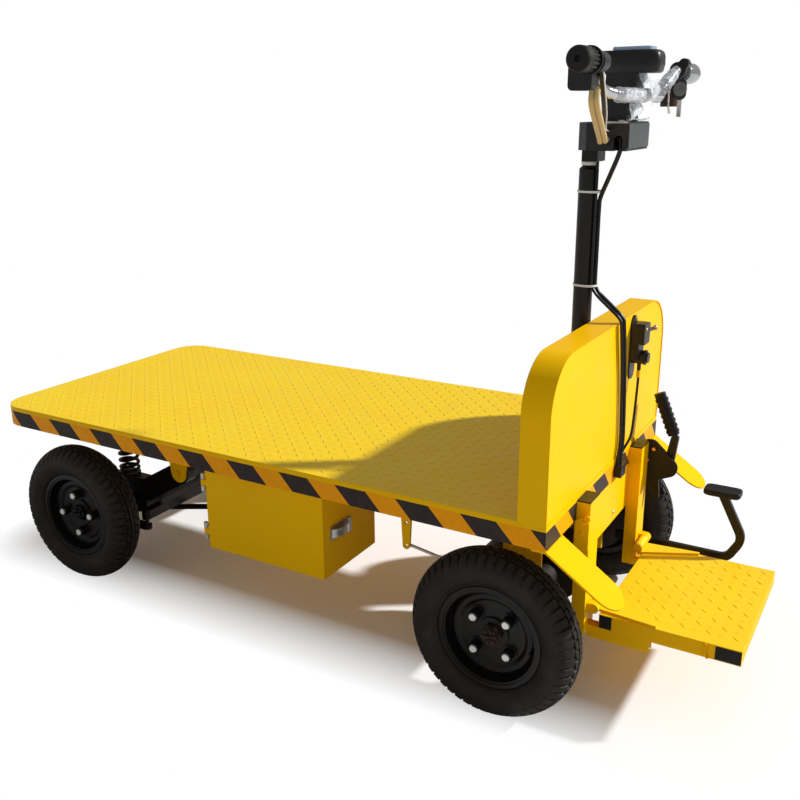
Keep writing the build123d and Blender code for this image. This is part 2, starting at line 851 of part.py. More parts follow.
# Tie rod: square bar with an eye at each end on the knuckle pins
with BuildPart() as tie_rod:
    block(around(tie_arm_x, tie_rod_size), (-kingpin_y, kingpin_y), (tie_rod_bottom, tie_rod_top))
    for name, side in SIDES:
        with Locations((tie_arm_x, side * kingpin_y, tie_rod_bottom)):
            Cylinder(tie_rod_size / 2, tie_rod_size, align=LOW)
    for name, side in SIDES:
        with Locations((tie_arm_x, side * kingpin_y, tie_rod_bottom)):
            Cylinder(link_pin_radius + running_clearance, tie_rod_size, align=LOW, mode=Mode.SUBTRACT)
save(tie_rod, "tie_rod")

# Drag link from the drop arm under the column to the left knuckle
drop_arm_top = column_bottom + steer_arm_thickness
link_drop = link_eye_gap + link_eye_height / 2
link_front = (front_axle_x, kingpin_y - steer_arm_length, ear_low_bottom - link_drop)
link_rear = (column_x, -steer_arm_length, column_bottom - link_drop)
with BuildPart() as drag_link:
    round_bar(link_rear, link_front, link_radius)
    for end in (link_rear, link_front):
        with Locations(end):
            Cylinder(link_eye_radius, link_eye_height)
    for end in (link_rear, link_front):
        with Locations(end):
            bore_height = link_eye_height + 2 * link_radius
            Cylinder(link_pin_radius + running_clearance, bore_height, mode=Mode.SUBTRACT)
save(drag_link, "drag_link")

# Driven axle: tube, differential, gear case that reaches forward to the motor, brake plates and spindles
motor_x = rear_axle_x + motor_lead
with BuildPart() as rear_axle:
    tube_half = axle_tube_length / 2
    round_bar((rear_axle_x, -tube_half, axle_height), (rear_axle_x, tube_half, axle_height), axle_tube_radius)
    case = [(rear_axle_x, axle_height, differential_radius), (motor_x, axle_height, motor_radius)]
    hull_plate(case, around(0, gear_case_width))
    for name, side in SIDES:
        tube_end = (rear_axle_x, side * tube_half, axle_height)
        plate_end = (rear_axle_x, side * (tube_half + brake_plate_width), axle_height)
        round_bar(tube_end, plate_end, brake_plate_radius)
        round_bar(tube_end, (rear_axle_x, side * spindle_tip, axle_height), spindle_radius)
save(rear_axle, "rear_axle")

# Motor on the left face of the gear case, as one plain block
with BuildPart() as motor:
    motor_start = gear_case_width / 2
    motor_end = motor_start + motor_length
    round_bar((motor_x, motor_start, axle_height), (motor_x, motor_end, axle_height), motor_radius)
save(motor, "motor")

# Hanger plates that carry the driven axle under the deck
with BuildPart() as axle_hangers:
    for name, side in SIDES:
        limits = around(side * hanger_spacing / 2, hanger_plate)
        hanger_z = (axle_height - axle_tube_radius - hanger_foot, rail_top)
        block(around(rear_axle_x, hanger_width), limits, hanger_z)
        bore_start = (rear_axle_x, limits[0], axle_height)
        round_bar(bore_start, (rear_axle_x, limits[1], axle_height), axle_tube_radius, mode=Mode.SUBTRACT)
save(axle_hangers, "axle_hangers")

# Brake relay lever hanging under the left of the deck, and its rod to the rear axle
relay_y = half_track - tyre_width / 2 - relay_tyre_gap
relay_foot = relay_bottom + relay_foot_radius
with BuildPart() as brake_relay:
    shoulder_half = relay_top_radius - relay_hole_radius
    lever = [
        (relay_x - shoulder_half, rail_bottom - relay_hole_radius, relay_hole_radius),
        (relay_x + shoulder_half, rail_bottom - relay_hole_radius, relay_hole_radius),
        (relay_x, relay_foot, relay_foot_radius),
    ]
    relay_limits = around(relay_y, relay_sheet)
    hull_plate(lever, relay_limits)
    for height in (relay_foot, (relay_foot + rail_bottom) / 2):
        hole_start = (relay_x, relay_limits[0], height)
        round_bar(hole_start, (relay_x, relay_limits[1], height), relay_hole_radius, mode=Mode.SUBTRACT)
save(brake_relay, "brake_relay")

with BuildPart() as brake_rod:
    rod_y = relay_limits[0] - brake_rod_radius
    rod_front = (relay_x - relay_hole_radius, rod_y, relay_bottom + brake_rod_front_rise)
    rod_rear = (rear_axle_x + brake_rod_rear_lead, relay_y - brake_rod_rear_inset, brake_rod_rear_height)
    round_bar(rod_front, rod_rear, brake_rod_radius)
save(brake_rod, "brake_rod")

# Fold-up driver's step: folded sheet tray with tapered strap hinges on top
step_x = (rear - step_reach, post_rear - step_post_gap)
step_z = (step_top - step_thickness, step_top)
step_hinge_x = post_rear - hinge_post_gap - hinge_barrel_radius
step_hinge_z = step_top + hinge_rise
lug_start = post_outer - hinge_barrel_radius - hinge_lug_width
barrel_end = lug_start - hinge_lug_gap
barrel_start = barrel_end - hinge_barrel_length
strap_z = (step_top, step_top + strap_sheet)
with BuildPart() as step:
    block(step_x, (-step_half, step_half), step_z)
    tray_x = (step_x[0] + step_sheet, step_x[1] - step_sheet)
    tray_half = step_half - step_sheet
    block(tray_x, (-tray_half, tray_half), (step_z[0], step_top - step_sheet), mode=Mode.SUBTRACT)
    for name, side in SIDES:
        with BuildSketch(Plane.XY.offset(strap_z[0])):
            with BuildLine():
                Polyline(
                    (step_hinge_x, side * barrel_start),
                    (step_hinge_x, side * barrel_end),
                    (step_x[1], side * barrel_end),
                    (step_x[1] - strap_reach, side * step_half),
                    (step_x[1] - strap_reach, side * (step_half - strap_tip)),
                    close=True,
                )
            make_face()
        extrude(amount=strap_sheet)
        barrel_inner = (step_hinge_x, side * barrel_start, step_hinge_z)
        barrel_outer = (step_hinge_x, side * barrel_end, step_hinge_z)
        round_bar(barrel_inner, barrel_outer, hinge_barrel_radius)
        round_bar(barrel_inner, barrel_outer, hinge_pin_radius + running_clearance, mode=Mode.SUBTRACT)
save(step, "step")

# Step hinges: lugs on the posts, each with its pin through the barrel
with BuildPart() as step_hinges:
    for name, side in SIDES:
        lug_y = around(side * (lug_start + hinge_lug_width / 2), hinge_lug_width)
        block((step_hinge_x, post_rear), lug_y, around(step_hinge_z, 2 * hinge_barrel_radius))
        pin_start = (step_hinge_x, side * barrel_start, step_hinge_z)
        lug_inner = (step_hinge_x, side * lug_start, step_hinge_z)
        lug_outer = (step_hinge_x, side * (lug_start + hinge_lug_width), step_hinge_z)
        round_bar(lug_inner, lug_outer, hinge_barrel_radius)
        round_bar(pin_start, lug_outer, hinge_pin_radius)
save(step_hinges, "step_hinges")

# Channels on the posts that the step rests on
with BuildPart() as step_rest:
    rest_x = (post_rear - step_rest_reach, post_rear)
    rest_top = step_z[0] - step_rest_gap
    rest_bottom = rest_top - step_rest_height
    for name, side in SIDES:
        rest_middle = side * (post_y - step_rest_inset + step_rest_width / 2)
        block(rest_x, around(rest_middle, step_rest_width), (rest_bottom, rest_top))
        hollow_y = around(rest_middle, step_rest_width - 2 * step_sheet)
        block(rest_x, hollow_y, (rest_bottom, rest_top - step_sheet), mode=Mode.SUBTRACT)
save(step_rest, "step_rest")

# Foot brake: flat bar bent up beside the step, its top cut flush under a treadle
pedal_y = -(post_outer + pedal_post_gap + pedal_bar_thickness / 2)
pad_turn = math.radians(pedal_pad_slope)
pad_plane = Plane(
    origin=(rear - pedal_top_reach, pedal_y, pedal_top_height),
    x_dir=(-math.cos(pad_turn), 0, -math.sin(pad_turn)),
    z_dir=(-math.sin(pad_turn), 0, math.cos(pad_turn)),
)
pedal_heel = Vector(rear - pedal_heel_reach, pedal_heel_height)
pedal_top = Vector(rear - pedal_top_reach, pedal_top_height)
with BuildPart() as pedal_arm:
    with BuildSketch(Plane.XZ.offset(-(pedal_y + pedal_bar_thickness / 2))):
        with BuildLine():
            FilletPolyline(
                (rear + pedal_front_reach, pedal_low_height),
                (rear - pedal_low_reach, pedal_low_height),
                pedal_heel,
                pedal_top + (pedal_top - pedal_heel) * pedal_trim_share,
                radius=[pedal_heel_bend, pedal_shin_bend],
            )
        trace(line_width=pedal_bar_width)
    extrude(amount=pedal_bar_thickness)
    split(bisect_by=pad_plane, keep=Keep.BOTTOM)
save(pedal_arm, "pedal_arm")

with BuildPart() as pedal_pad:
    with BuildSketch(pad_plane):
        RectangleRounded(pedal_pad_length, pedal_pad_width, pedal_pad_corner)
    extrude(amount=pedal_pad_thickness)
save(pedal_pad, "pedal_pad")

# Pedal boss on the right post
with BuildPart() as pedal_bracket:
    boss_start = (rear - post_depth / 2, -post_outer, pedal_low_height)
    boss_end = (rear - post_depth / 2, -post_outer - pedal_post_gap, pedal_low_height)
    round_bar(boss_start, boss_end, pedal_boss_radius)
save(pedal_bracket, "pedal_bracket")

# Handbrake on the right post: quadrant plate, lever and ribbed grip
quadrant_face = -post_outer - quadrant_sheet
lever_y = (quadrant_face - lever_thickness, quadrant_face)
with BuildPart() as handbrake_quadrant:
    for corners in ([quadrant_upper, quadrant_pivot, quadrant_lower], [quadrant_lower, quadrant_tail]):
        circles = [(rear - reach, height, radius) for reach, height, radius in corners]
        hull_plate(circles, (quadrant_face, -post_outer))
save(handbrake_quadrant, "handbrake_quadrant")

lever_head_x = rear - lever_head_reach
with BuildPart() as handbrake_lever:
    lever_foot = (rear - quadrant_pivot[0], quadrant_pivot[1], lever_foot_radius)
    hull_plate([lever_foot, (lever_head_x, lever_head_height, lever_head_radius)], lever_y)
save(handbrake_lever, "handbrake_lever")

with BuildPart() as handbrake_grip:
    lean = math.radians(lever_grip_lean)
    head_middle = (lever_head_x, quadrant_face - lever_thickness / 2, lever_head_height)
    head_plane = Plane(origin=head_middle, x_dir=(0, 1, 0), z_dir=(math.sin(lean), 0, math.cos(lean)))
    grip_foot = lever_head_radius + seat_gap
    with BuildSketch(head_plane.offset(grip_foot)):
        Ellipse(lever_grip_width / 2, lever_grip_depth / 2)
    extrude(amount=lever_grip_length)
    for rib in range(lever_rib_count):
        with BuildSketch(head_plane.offset(grip_foot + (rib + 0.5) * lever_rib_pitch)):
            Ellipse(lever_grip_width / 2 + lever_rib_proud, lever_grip_depth / 2 + lever_rib_proud)
        extrude(amount=lever_rib_width)
save(handbrake_grip, "handbrake_grip")

# Switch unit on the headboard panel: drilled plate, switch body with a side lever, and a key knob below
switch_x = rear + headboard_lip
switch_face = switch_x - switch_plate_sheet
switch_body_z = (switch_body_bottom + switch_body_top) / 2
with BuildPart() as switch_unit:
    plate_height = switch_plate_top - switch_plate_bottom
    plate_middle = (switch_plate_bottom + switch_plate_top) / 2
    with BuildSketch(Plane(origin=(switch_x, switch_y, plate_middle), x_dir=(0, 0, 1), z_dir=(-1, 0, 0))):
        SlotOverall(plate_height, switch_plate_width)
        with Locations(((plate_height - switch_plate_width) / 2, 0)):
            Circle(switch_hole_radius, mode=Mode.SUBTRACT)
    extrude(amount=switch_plate_sheet)
    with BuildSketch(Plane(origin=(switch_face, switch_y, switch_body_z), x_dir=(0, 0, 1), z_dir=(-1, 0, 0))):
        RectangleRounded(switch_body_top - switch_body_bottom, switch_body_width, switch_body_corner)
    extrude(amount=switch_body_depth)
    with Locations(Plane(origin=(switch_face, switch_y, knob_height), z_dir=(-1, 0, 0))):
        Cylinder(knob_radius, knob_depth, align=LOW)
        Cylinder(knob_cap_radius, knob_depth + knob_cap_depth, align=LOW)
    lever_root = (switch_face - switch_body_depth / 2, switch_y, switch_body_z)
    lever_tip_y = switch_y - switch_body_width / 2 - switch_lever_reach
    lever_tip = (lever_root[0] - switch_lever_lean, lever_tip_y, switch_body_z)
    round_bar(lever_root, lever_tip, switch_lever_radius)
    with Locations(lever_tip):
        Sphere(switch_lever_ball)
    relief_x = switch_face - knob_depth / 2
    relief_z = knob_height - strain_relief_drop
    relief_end = (relief_x, switch_y, relief_z)
    round_bar(relief_end, (relief_x, switch_y, knob_height), strain_relief_radius)
save(switch_unit, "switch_unit")

# Column bearing: housing that rises through the deck's notch, with a flange under the plate
with BuildPart() as column_bearing:
    bearing_low = rail_top - bearing_depth
    bearing_high = deck_top + bearing_rise
    bearing_side = (-bearing_flange_half, bearing_flange_half)
    flange_x = (rear + rail_width, column_x + bearing_flange_half)
    block(flange_x, bearing_side, (rail_top - bearing_flange, rail_top))
    with Locations((column_x, 0, bearing_low)):
        Cylinder(bearing_radius, bearing_high - bearing_low, align=LOW)
    block((rear, plate_rear), bearing_side, (rail_top, bearing_high), mode=Mode.SUBTRACT)
    with Locations((column_x, 0, bearing_low)):
        Cylinder(column_radius + running_clearance, bearing_high - bearing_low, align=LOW, mode=Mode.SUBTRACT)
save(column_bearing, "column_bearing")

# Steering column with its tapered neck, head bracket, drop arm and link pin
neck_top = control_low - neck_bracket_height
with BuildPart() as column:
    with Locations((column_x, 0, column_bottom)):
        Cylinder(column_radius, column_shoulder - column_bottom, align=LOW)
    with Locations((column_x, 0, column_shoulder)):
        Cone(column_radius, column_neck_radius, column_shoulder_rise, align=LOW)
        Cylinder(column_neck_radius, neck_top - column_shoulder, align=LOW)
    bracket_front = column_x + neck_bracket_lead
    bracket_x = (bracket_front - neck_bracket_length, bracket_front)
    block(bracket_x, around(0, neck_bracket_width), (neck_top, control_low))
    block(around(column_x, steer_arm_width), (-steer_arm_length, 0), (column_bottom, drop_arm_top))
    with Locations((column_x, -steer_arm_length, column_bottom)):
        Cylinder(steer_arm_width / 2, steer_arm_thickness, align=LOW)
    with Locations((column_x, -steer_arm_length, column_bottom - link_pin_drop)):
        Cylinder(link_pin_radius, drop_arm_top - column_bottom + link_pin_drop, align=LOW)
save(column, "column")

# Control box on the column head: front corners bevelled, arched cable notch in its left face
control_x = (rear - control_rear_reach, rear - control_rear_reach + control_length)
control_half = control_width / 2
control_top = control_low + control_height
notch_x = control_x[0] + control_notch_setback
notch_arch = control_low + control_notch_height - control_notch_radius
notch_y = (control_half - control_notch_depth, control_half)
with BuildPart() as control_box:
    with BuildSketch(Plane.XY.offset(control_low)) as control_face:
        with Locations(((control_x[0] + control_x[1]) / 2, 0)):
            Rectangle(control_length, control_width)
        chamfer(control_face.vertices().group_by(Axis.X)[-1], control_chamfer)
    extrude(amount=control_height)
    block(around(notch_x, 2 * control_notch_radius), notch_y, (control_low, notch_arch), mode=Mode.SUBTRACT)
    arch_start = (notch_x, notch_y[0], notch_arch)
    round_bar(arch_start, (notch_x, notch_y[1], notch_arch), control_notch_radius, mode=Mode.SUBTRACT)
save(control_box, "control_box")

with BuildPart() as control_lens:
    lens_half = control_half - lens_inset
    lens_z = (control_low + lens_foot, control_top - lens_inset)
    block((control_x[0] - lens_sheet, control_x[0]), (-lens_half, lens_half), lens_z)
save(control_lens, "control_lens")

# Riser between the control box and the handlebar, grooved as the lower half of the bar clamp
bar_x = rear + bar_setback
clamp_half = clamp_gap / 2
bar_seat_radius = bar_radius + running_clearance
with BuildPart() as bar_riser:
    riser_x = (bar_x + riser_lead - riser_length, bar_x + riser_lead)
    block(riser_x, around(0, riser_width), (control_top, bar_height - clamp_half))
    groove_end = (bar_x, riser_width, bar_height)
    round_bar((bar_x, -riser_width, bar_height), groove_end, bar_seat_radius, mode=Mode.SUBTRACT)
save(bar_riser, "bar_riser")


# Handlebar: straight middle, ends that rise and sweep back to the grips
def end_run(side, half):
    """Point on the bar's straight end at a distance from the middle of the cart."""
    share = (bar_half_width - half) / (bar_half_width - bar_bend_half)
    return Vector(rear + grip_setback + grip_sweep * share, side * half, grip_height)


with BuildPart() as handlebar:
    bar_points = [
        end_run(-1, bar_half_width - grip_cap),
        end_run(-1, bar_bend_half),
        (bar_x, -bar_centre_half, bar_height),
        (bar_x, bar_centre_half, bar_height),
        end_run(1, bar_bend_half),
        end_run(1, bar_half_width - grip_cap),
    ]
    bent_bar(bar_points, bar_bend_radius, bar_radius)
save(handlebar, "handlebar")

# Rubber grips over the bar ends, each with a flange, a closed end and a vent hole
grip_start = bar_half_width - grip_length
with BuildPart() as grips:
    for name, side in SIDES:
        inner = end_run(side, grip_start)
        along = (end_run(side, bar_half_width) - inner).normalized()
        length = (end_run(side, bar_half_width) - inner).length
        grip_section = Plane(origin=inner, x_dir=(0, 0, 1), z_dir=Vector(0, 0, 1).cross(along))
        with BuildSketch(grip_section):
            with BuildLine():
                Polyline(
                    (bar_seat_radius, 0),
                    (grip_flange_radius, 0),
                    (grip_flange_radius, grip_flange_width),
                    (grip_radius, grip_flange_width),
                    (grip_radius, length - grip_edge),
                    (grip_radius - grip_edge, length),
                    (grip_hole_radius, length),
                    (grip_hole_radius, length - grip_hole_depth),
                    (0, length - grip_hole_depth),
                    (0, length - grip_cap),
                    (bar_seat_radius, length - grip_cap),
                    close=True,
                )
            make_face()
        revolve(axis=Axis(inner, along))
save(grips, "grips")

# Bar controls: clamp collars, horn and wire housing on the left, perch and key lock on the right
collar_end = grip_start - control_collar_gap
collar_start = collar_end - control_collar_width
collar_middle = (collar_start + collar_end) / 2
collar_x = end_run(1, collar_middle).X
horn_x = (collar_x + horn_lead - horn_length, collar_x + horn_lead)
horn_z = (grip_height - horn_drop, grip_height - horn_drop + horn_height)
lock_x = collar_x + lock_lead
lock_y = -collar_start - lock_offset
lock_bottom = grip_height - lock_drop
fob_x = collar_x - fob_back
fob_y = (-collar_start + fob_stand, -collar_start + fob_stand + fob_sheet)
fob_z = grip_height - fob_drop
with BuildPart() as bar_controls:
    for name, side in SIDES:
        round_bar(end_run(side, collar_start), end_run(side, collar_end), control_collar_radius)
    with BuildSketch(Plane.XZ.offset(-collar_end)):
        with Locations(((horn_x[0] + horn_x[1]) / 2, (horn_z[0] + horn_z[1]) / 2)):
            RectangleRounded(horn_length, horn_height, horn_corner)
    extrude(amount=control_collar_width)
    perch = [
        (collar_x - perch_back, grip_height + perch_rise, perch_radius),
        (collar_x + perch_lead, grip_height - perch_fall, perch_radius),
    ]
    hull_plate(perch, (-collar_start - perch_width, -collar_start))
    round_bar((lock_x, lock_y, lock_bottom), (lock_x, lock_y, lock_bottom + lock_height), lock_radius)
    for name, side in SIDES:
        bore_start = end_run(side, collar_start - clamp_gap)
        round_bar(bore_start, end_run(side, collar_end + clamp_gap), bar_seat_radius, mode=Mode.SUBTRACT)
    fob_half = fob_length / 2
    hull_plate([(fob_x, fob_z - fob_half, fob_radius), (fob_x, fob_z + fob_half, fob_radius)], fob_y)
    stem_x = fob_x + fob_radius - key_stem_radius
    round_bar((stem_x, lock_y, fob_z), (stem_x, fob_y[0], fob_z), key_stem_radius)
    blade_top = fob_z - fob_half
    blade_z = (blade_top - fob_radius - key_length, blade_top)
    block(around(fob_x, key_width), around((fob_y[0] + fob_y[1]) / 2, key_sheet), blade_z)
save(bar_controls, "bar_controls")

# Display pod on its neck, grooved as the upper half of the bar clamp
pod_x = bar_x - pod_trail
with BuildPart() as display_pod:
    with BuildSketch(Plane.XY.offset(pod_bottom)):
        with Locations((pod_x, 0)):
            RectangleRounded(pod_length, pod_width, pod_corner)
    extrude(amount=pod_height)
    fillet(display_pod.faces().sort_by(Axis.Z)[-1].edges(), pod_edge)
    neck_z = (bar_height + clamp_half, pod_bottom)
    block(around(bar_x, pod_neck_length), around(0, pod_neck_width), neck_z)
    groove_end = (bar_x, pod_width, bar_height)
    round_bar((bar_x, -pod_width, bar_height), groove_end, bar_seat_radius, mode=Mode.SUBTRACT)
save(display_pod, "display_pod")

with BuildPart() as display_glass:
    with BuildSketch(Plane.XY.offset(pod_bottom + pod_height)):
        with Locations((pod_x + glass_lead, 0)):
            RectangleRounded(glass_length, glass_width, glass_corner)
    extrude(amount=glass_height)
    fillet(display_glass.faces().sort_by(Axis.Z)[-1].edges(), glass_edge)
save(display_glass, "display_glass")


def between(low, high, share):
    """Value at a share of the way from one to another."""
    return low + share * (high - low)


def way(start, end, shares):
    """Point at a share of the way between two points, given for each axis."""
    return tuple(between(low, high, share) for low, high, share in zip(start, end, shares))


# Cables that turn with the column: loom from the box's notch, thin cable, two horn wires and a fine wire
loom_x = column_x - column_radius - cable_seat_gap - cable_radius
thin_seat = column_radius + cable_seat_gap + thin_cable_radius
thin_turn = math.radians(thin_cable_turn)
thin_x = column_x - thin_seat * math.cos(thin_turn)
thin_y = thin_seat * math.sin(thin_turn)
tie_top = cable_tie_height + cable_joint_gap
loom_y = (notch_y[0] + notch_y[1]) / 2
loom_z = control_low - loom_slack
wire_z = control_low + wire_entry_rise
fine_z = control_low + fine_wire_entry_rise
fine_start = grip_height - fine_wire_drop
with BuildPart() as steering_cables:
    loom = [
        (notch_x, loom_y, notch_arch + notch_cable_rise),
        (notch_x, loom_y, loom_z),
        (between(notch_x, loom_x, 0.51), between(loom_y, 0, 0.51), between(loom_z, tie_top, 0.14)),
        (loom_x, 0, between(loom_z, tie_top, 0.30)),
        (loom_x, 0, tie_top),
    ]
    cable(loom, cable_radius)
    round_bar((thin_x, thin_y, tie_top), (thin_x, thin_y, neck_top), thin_cable_radius)
    for pair in (0, 1):
        horn_wire_x = horn_x[0] + wire_pitch * (pair + 1)
        entry_x = riser_x[1] + wire_pitch * (pair - 1)
        horn_wire = [
            (horn_wire_x, collar_middle, horn_z[0]),
            (horn_wire_x, collar_middle, between(horn_z[0], wire_z, 0.22)),
            way((horn_wire_x, collar_middle, horn_z[0]), (entry_x, control_half, wire_z), (0.40, 0.32, 0.55)),
            way((horn_wire_x, collar_middle, horn_z[0]), (entry_x, control_half, wire_z), (0.92, 0.75, 0.92)),
            (entry_x, between(collar_middle, control_half, 0.89), wire_z),
            (entry_x, control_half, wire_z),
        ]
        cable(horn_wire, wire_radius)
    fine_x = horn_x[0] + wire_pitch
    fine_entry_x = riser_x[1] - 2 * wire_pitch
    fine_wire = [
        (fine_x, collar_start, fine_start),
        (fine_x, between(collar_start, control_half, 0.10), fine_start),
        way((fine_x, collar_start, fine_start), (fine_entry_x, control_half, fine_z), (0.48, 0.48, 0.49)),
        way((fine_x, collar_start, fine_start), (fine_entry_x, control_half, fine_z), (0.92, 0.79, 0.91)),
        (fine_entry_x, between(collar_start, control_half, 0.90), fine_z),
        (fine_entry_x, control_half, fine_z),
    ]
    cable(fine_wire, fine_wire_radius)
save(steering_cables, "steering_cables")

# Cables down the headboard, from the tie on the column into a gland on the rear rail
gland_y = around(gland_middle, gland_width)
main_x = rear - cable_face_gap - cable_radius
slim_x = rear - cable_face_gap - thin_cable_radius
lead_x = rear - cable_face_gap - switch_cable_radius
drape_z = headboard_top + cable_drape
tail_z = gland_top + cable_tail
main_y = gland_middle - thin_cable_radius
slim_y = gland_middle + 2 * cable_radius
lead_y = gland_y[0] + switch_cable_radius
with BuildPart() as headboard_cables:
    block((rear - gland_depth, rear), gland_y, (gland_bottom, gland_top))
    main = [
        (loom_x, 0, cable_tie_height),
        (loom_x, 0, cable_tie_height - cable_tail),
        (main_x, between(0, main_y, 0.08), drape_z),
        (main_x, between(0, main_y, 0.80), between(drape_z, gland_top, 0.46)),
        (main_x, between(0, main_y, 1.16), between(drape_z, gland_top, 0.82)),
        (main_x, main_y, tail_z),
        (main_x, main_y, gland_top),
    ]
    cable(main, cable_radius)
    slim = [
        (thin_x, thin_y, cable_tie_height),
        (thin_x, thin_y, cable_tie_height - cable_tail),
        (slim_x, between(thin_y, slim_y, 0.05), drape_z),
        (slim_x, between(thin_y, slim_y, 0.78), between(drape_z, gland_top, 0.46)),
        (slim_x, between(thin_y, slim_y, 1.14), between(drape_z, gland_top, 0.82)),
        (slim_x, slim_y, tail_z),
        (slim_x, slim_y, gland_top),
    ]
    cable(slim, thin_cable_radius)
    switch_lead = [
        (relief_x, switch_y, relief_z),
        (relief_x, switch_y, between(relief_z, gland_top, 0.14)),
        (relief_x - cable_radius, between(switch_y, lead_y, 0.58), between(relief_z, gland_top, 0.44)),
        (relief_x, between(switch_y, lead_y, 0.50), between(relief_z, gland_top, 0.72)),
        way((relief_x, switch_y, relief_z), (lead_x, lead_y, gland_top), (0.80, 0.60, 0.86)),
        (lead_x, lead_y, between(relief_z, gland_top, 0.925)),
        (lead_x, lead_y, gland_top),
    ]
    cable(switch_lead, switch_cable_radius)
save(headboard_cables, "headboard_cables")

# Wheels: tyre and pressed steel rim with hub, one pair of pieces at each corner
half_tyre = tyre_width / 2
half_rim = rim_width / 2
rim_turn = half_rim - rim_sheet
bead_seat = rim_radius + rim_sheet
disc_back = disc_offset - disc_sheet
hub_back = disc_offset - hub_depth
hub_bore = spindle_radius + running_clearance
nut_face = disc_offset + hub_nut_height
boss_face = disc_offset + hub_boss_height
ring_face = disc_offset + ring_height
lip_floor = half_rim - rim_lip_depth
lip_radius = rim_radius + rim_lip_step
# Radius and outward offset of each corner of the rim's section
rim_corners = [
    (rim_flange_radius, half_rim),
    (rim_flange_radius, rim_turn),
    (bead_seat, rim_turn),
    (bead_seat, -rim_turn),
    (rim_flange_radius, -rim_turn),
    (rim_flange_radius, -half_rim),
    (rim_radius, -half_rim),
    (rim_radius, disc_back),
    (hub_radius, disc_back),
    (hub_radius, hub_back),
    (hub_bore, hub_back),
    (hub_bore, nut_face),
    (hub_nut_radius, nut_face),
    (hub_nut_radius, boss_face),
    (hub_boss_radius, boss_face),
    (hub_boss_radius, disc_offset),
    (dish_radius, disc_offset),
    (ring_inner_radius, ring_face),
    (ring_outer_radius, ring_face),
    (rim_radius, disc_offset),
    (rim_radius, lip_floor),
    (lip_radius, lip_floor),
    (lip_radius, half_rim),
]
wheel_places = [("rear", rear_axle_x, rear_stud_turn), ("front", front_axle_x, front_stud_turn)]
for place, wheel_x, stud_turn in wheel_places:
    for name, side in SIDES:
        wheel_middle = (wheel_x, side * half_track, axle_height)
        wheel_plane = Plane(origin=wheel_middle, x_dir=(1, 0, 0), z_dir=(0, 0, 1))
        wheel_axis = Axis(wheel_middle, (0, 1, 0))
        with BuildPart() as tyre:
            with BuildSketch(wheel_plane):
                with BuildLine():
                    bead = (bead_seat + bead_clearance, rim_turn - bead_clearance)
                    lip = (rim_flange_radius + bead_clearance, bead[1])
                    flank = (rim_flange_radius + tyre_flank_rise, half_rim + tyre_flank_reach)
                    wall = (tyre_wall_radius, half_tyre)
                    shoulder = (tyre_shoulder_radius, half_tyre - tyre_shoulder_inset)
                    crown = (tyre_radius, 0)
                    Polyline(bead, lip, flank)
                    ThreePointArc(flank, wall, shoulder)
                    ThreePointArc(shoulder, crown, (shoulder[0], -shoulder[1]))
                    ThreePointArc((shoulder[0], -shoulder[1]), (wall[0], -wall[1]), (flank[0], -flank[1]))
                    Polyline((flank[0], -flank[1]), (lip[0], -lip[1]), (bead[0], -bead[1]), bead)
                make_face()
            revolve(axis=wheel_axis)
        save(tyre, "tyre_" + place + "_" + name)

        with BuildPart() as rim:
            with BuildSketch(wheel_plane):
                with BuildLine():
                    Polyline(*[(radius, side * outward) for radius, outward in rim_corners], close=True)
                make_face()
            revolve(axis=wheel_axis)
            disc_middle = (wheel_x, side * (half_track + disc_offset), axle_height)
            with Locations(Plane(origin=disc_middle, x_dir=(1, 0, 0), z_dir=(0, side, 0))):
                with PolarLocations(stud_circle_radius, stud_count, start_angle=stud_turn):
                    Cylinder(stud_pad_radius, stud_pad_height, align=LOW)
                    Cylinder(stud_radius, stud_length, align=LOW)
        save(rim, "rim_" + place + "_" + name)
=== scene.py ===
"""Looks of a stand-on electric platform cart: finishes, tread, chequer plate, tape, cables and fittings.

Metres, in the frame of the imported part: +X forward, +Y to the driver's left, +Z up, ground at zero.
"""
import json
import math

import bmesh
import bpy
import numpy as np
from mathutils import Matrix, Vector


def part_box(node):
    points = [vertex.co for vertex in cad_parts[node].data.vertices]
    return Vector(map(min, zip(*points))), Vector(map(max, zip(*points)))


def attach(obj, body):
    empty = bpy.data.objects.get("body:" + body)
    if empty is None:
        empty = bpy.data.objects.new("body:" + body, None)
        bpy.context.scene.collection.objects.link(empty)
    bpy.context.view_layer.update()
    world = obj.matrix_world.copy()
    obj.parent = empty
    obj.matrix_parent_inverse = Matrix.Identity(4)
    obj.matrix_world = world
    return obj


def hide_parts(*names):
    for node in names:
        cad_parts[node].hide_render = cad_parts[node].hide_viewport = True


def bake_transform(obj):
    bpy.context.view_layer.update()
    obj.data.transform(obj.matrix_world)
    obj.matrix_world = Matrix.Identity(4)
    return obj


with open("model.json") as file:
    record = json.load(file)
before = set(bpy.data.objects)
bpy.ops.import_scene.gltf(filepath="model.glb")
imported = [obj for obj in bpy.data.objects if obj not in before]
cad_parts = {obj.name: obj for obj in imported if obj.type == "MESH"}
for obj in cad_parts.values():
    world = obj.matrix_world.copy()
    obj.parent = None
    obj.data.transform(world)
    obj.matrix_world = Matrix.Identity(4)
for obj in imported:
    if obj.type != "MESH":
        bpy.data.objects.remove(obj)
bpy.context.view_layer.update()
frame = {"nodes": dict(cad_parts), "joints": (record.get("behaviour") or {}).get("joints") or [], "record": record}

bl_info = {
    "name": "Platform cart looks",
    "version": (1, 0, 0),
    "blender": (4, 5, 0),
    "location": "View3D > Sidebar > Cart",
    "description": "Finishes and surface details of a stand-on electric platform cart",
    "category": "Object",
}

MM = 0.001
SIDES = (("left", 1.0), ("right", -1.0))
WHEELS = {j["child"]: np.array(j["pos_m"]) for j in frame["joints"] if j["child"].startswith("wheel_")}


def corners(node):
    """Lowest and highest corner of a node, as arrays."""
    low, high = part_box(node)
    return np.array(low), np.array(high)


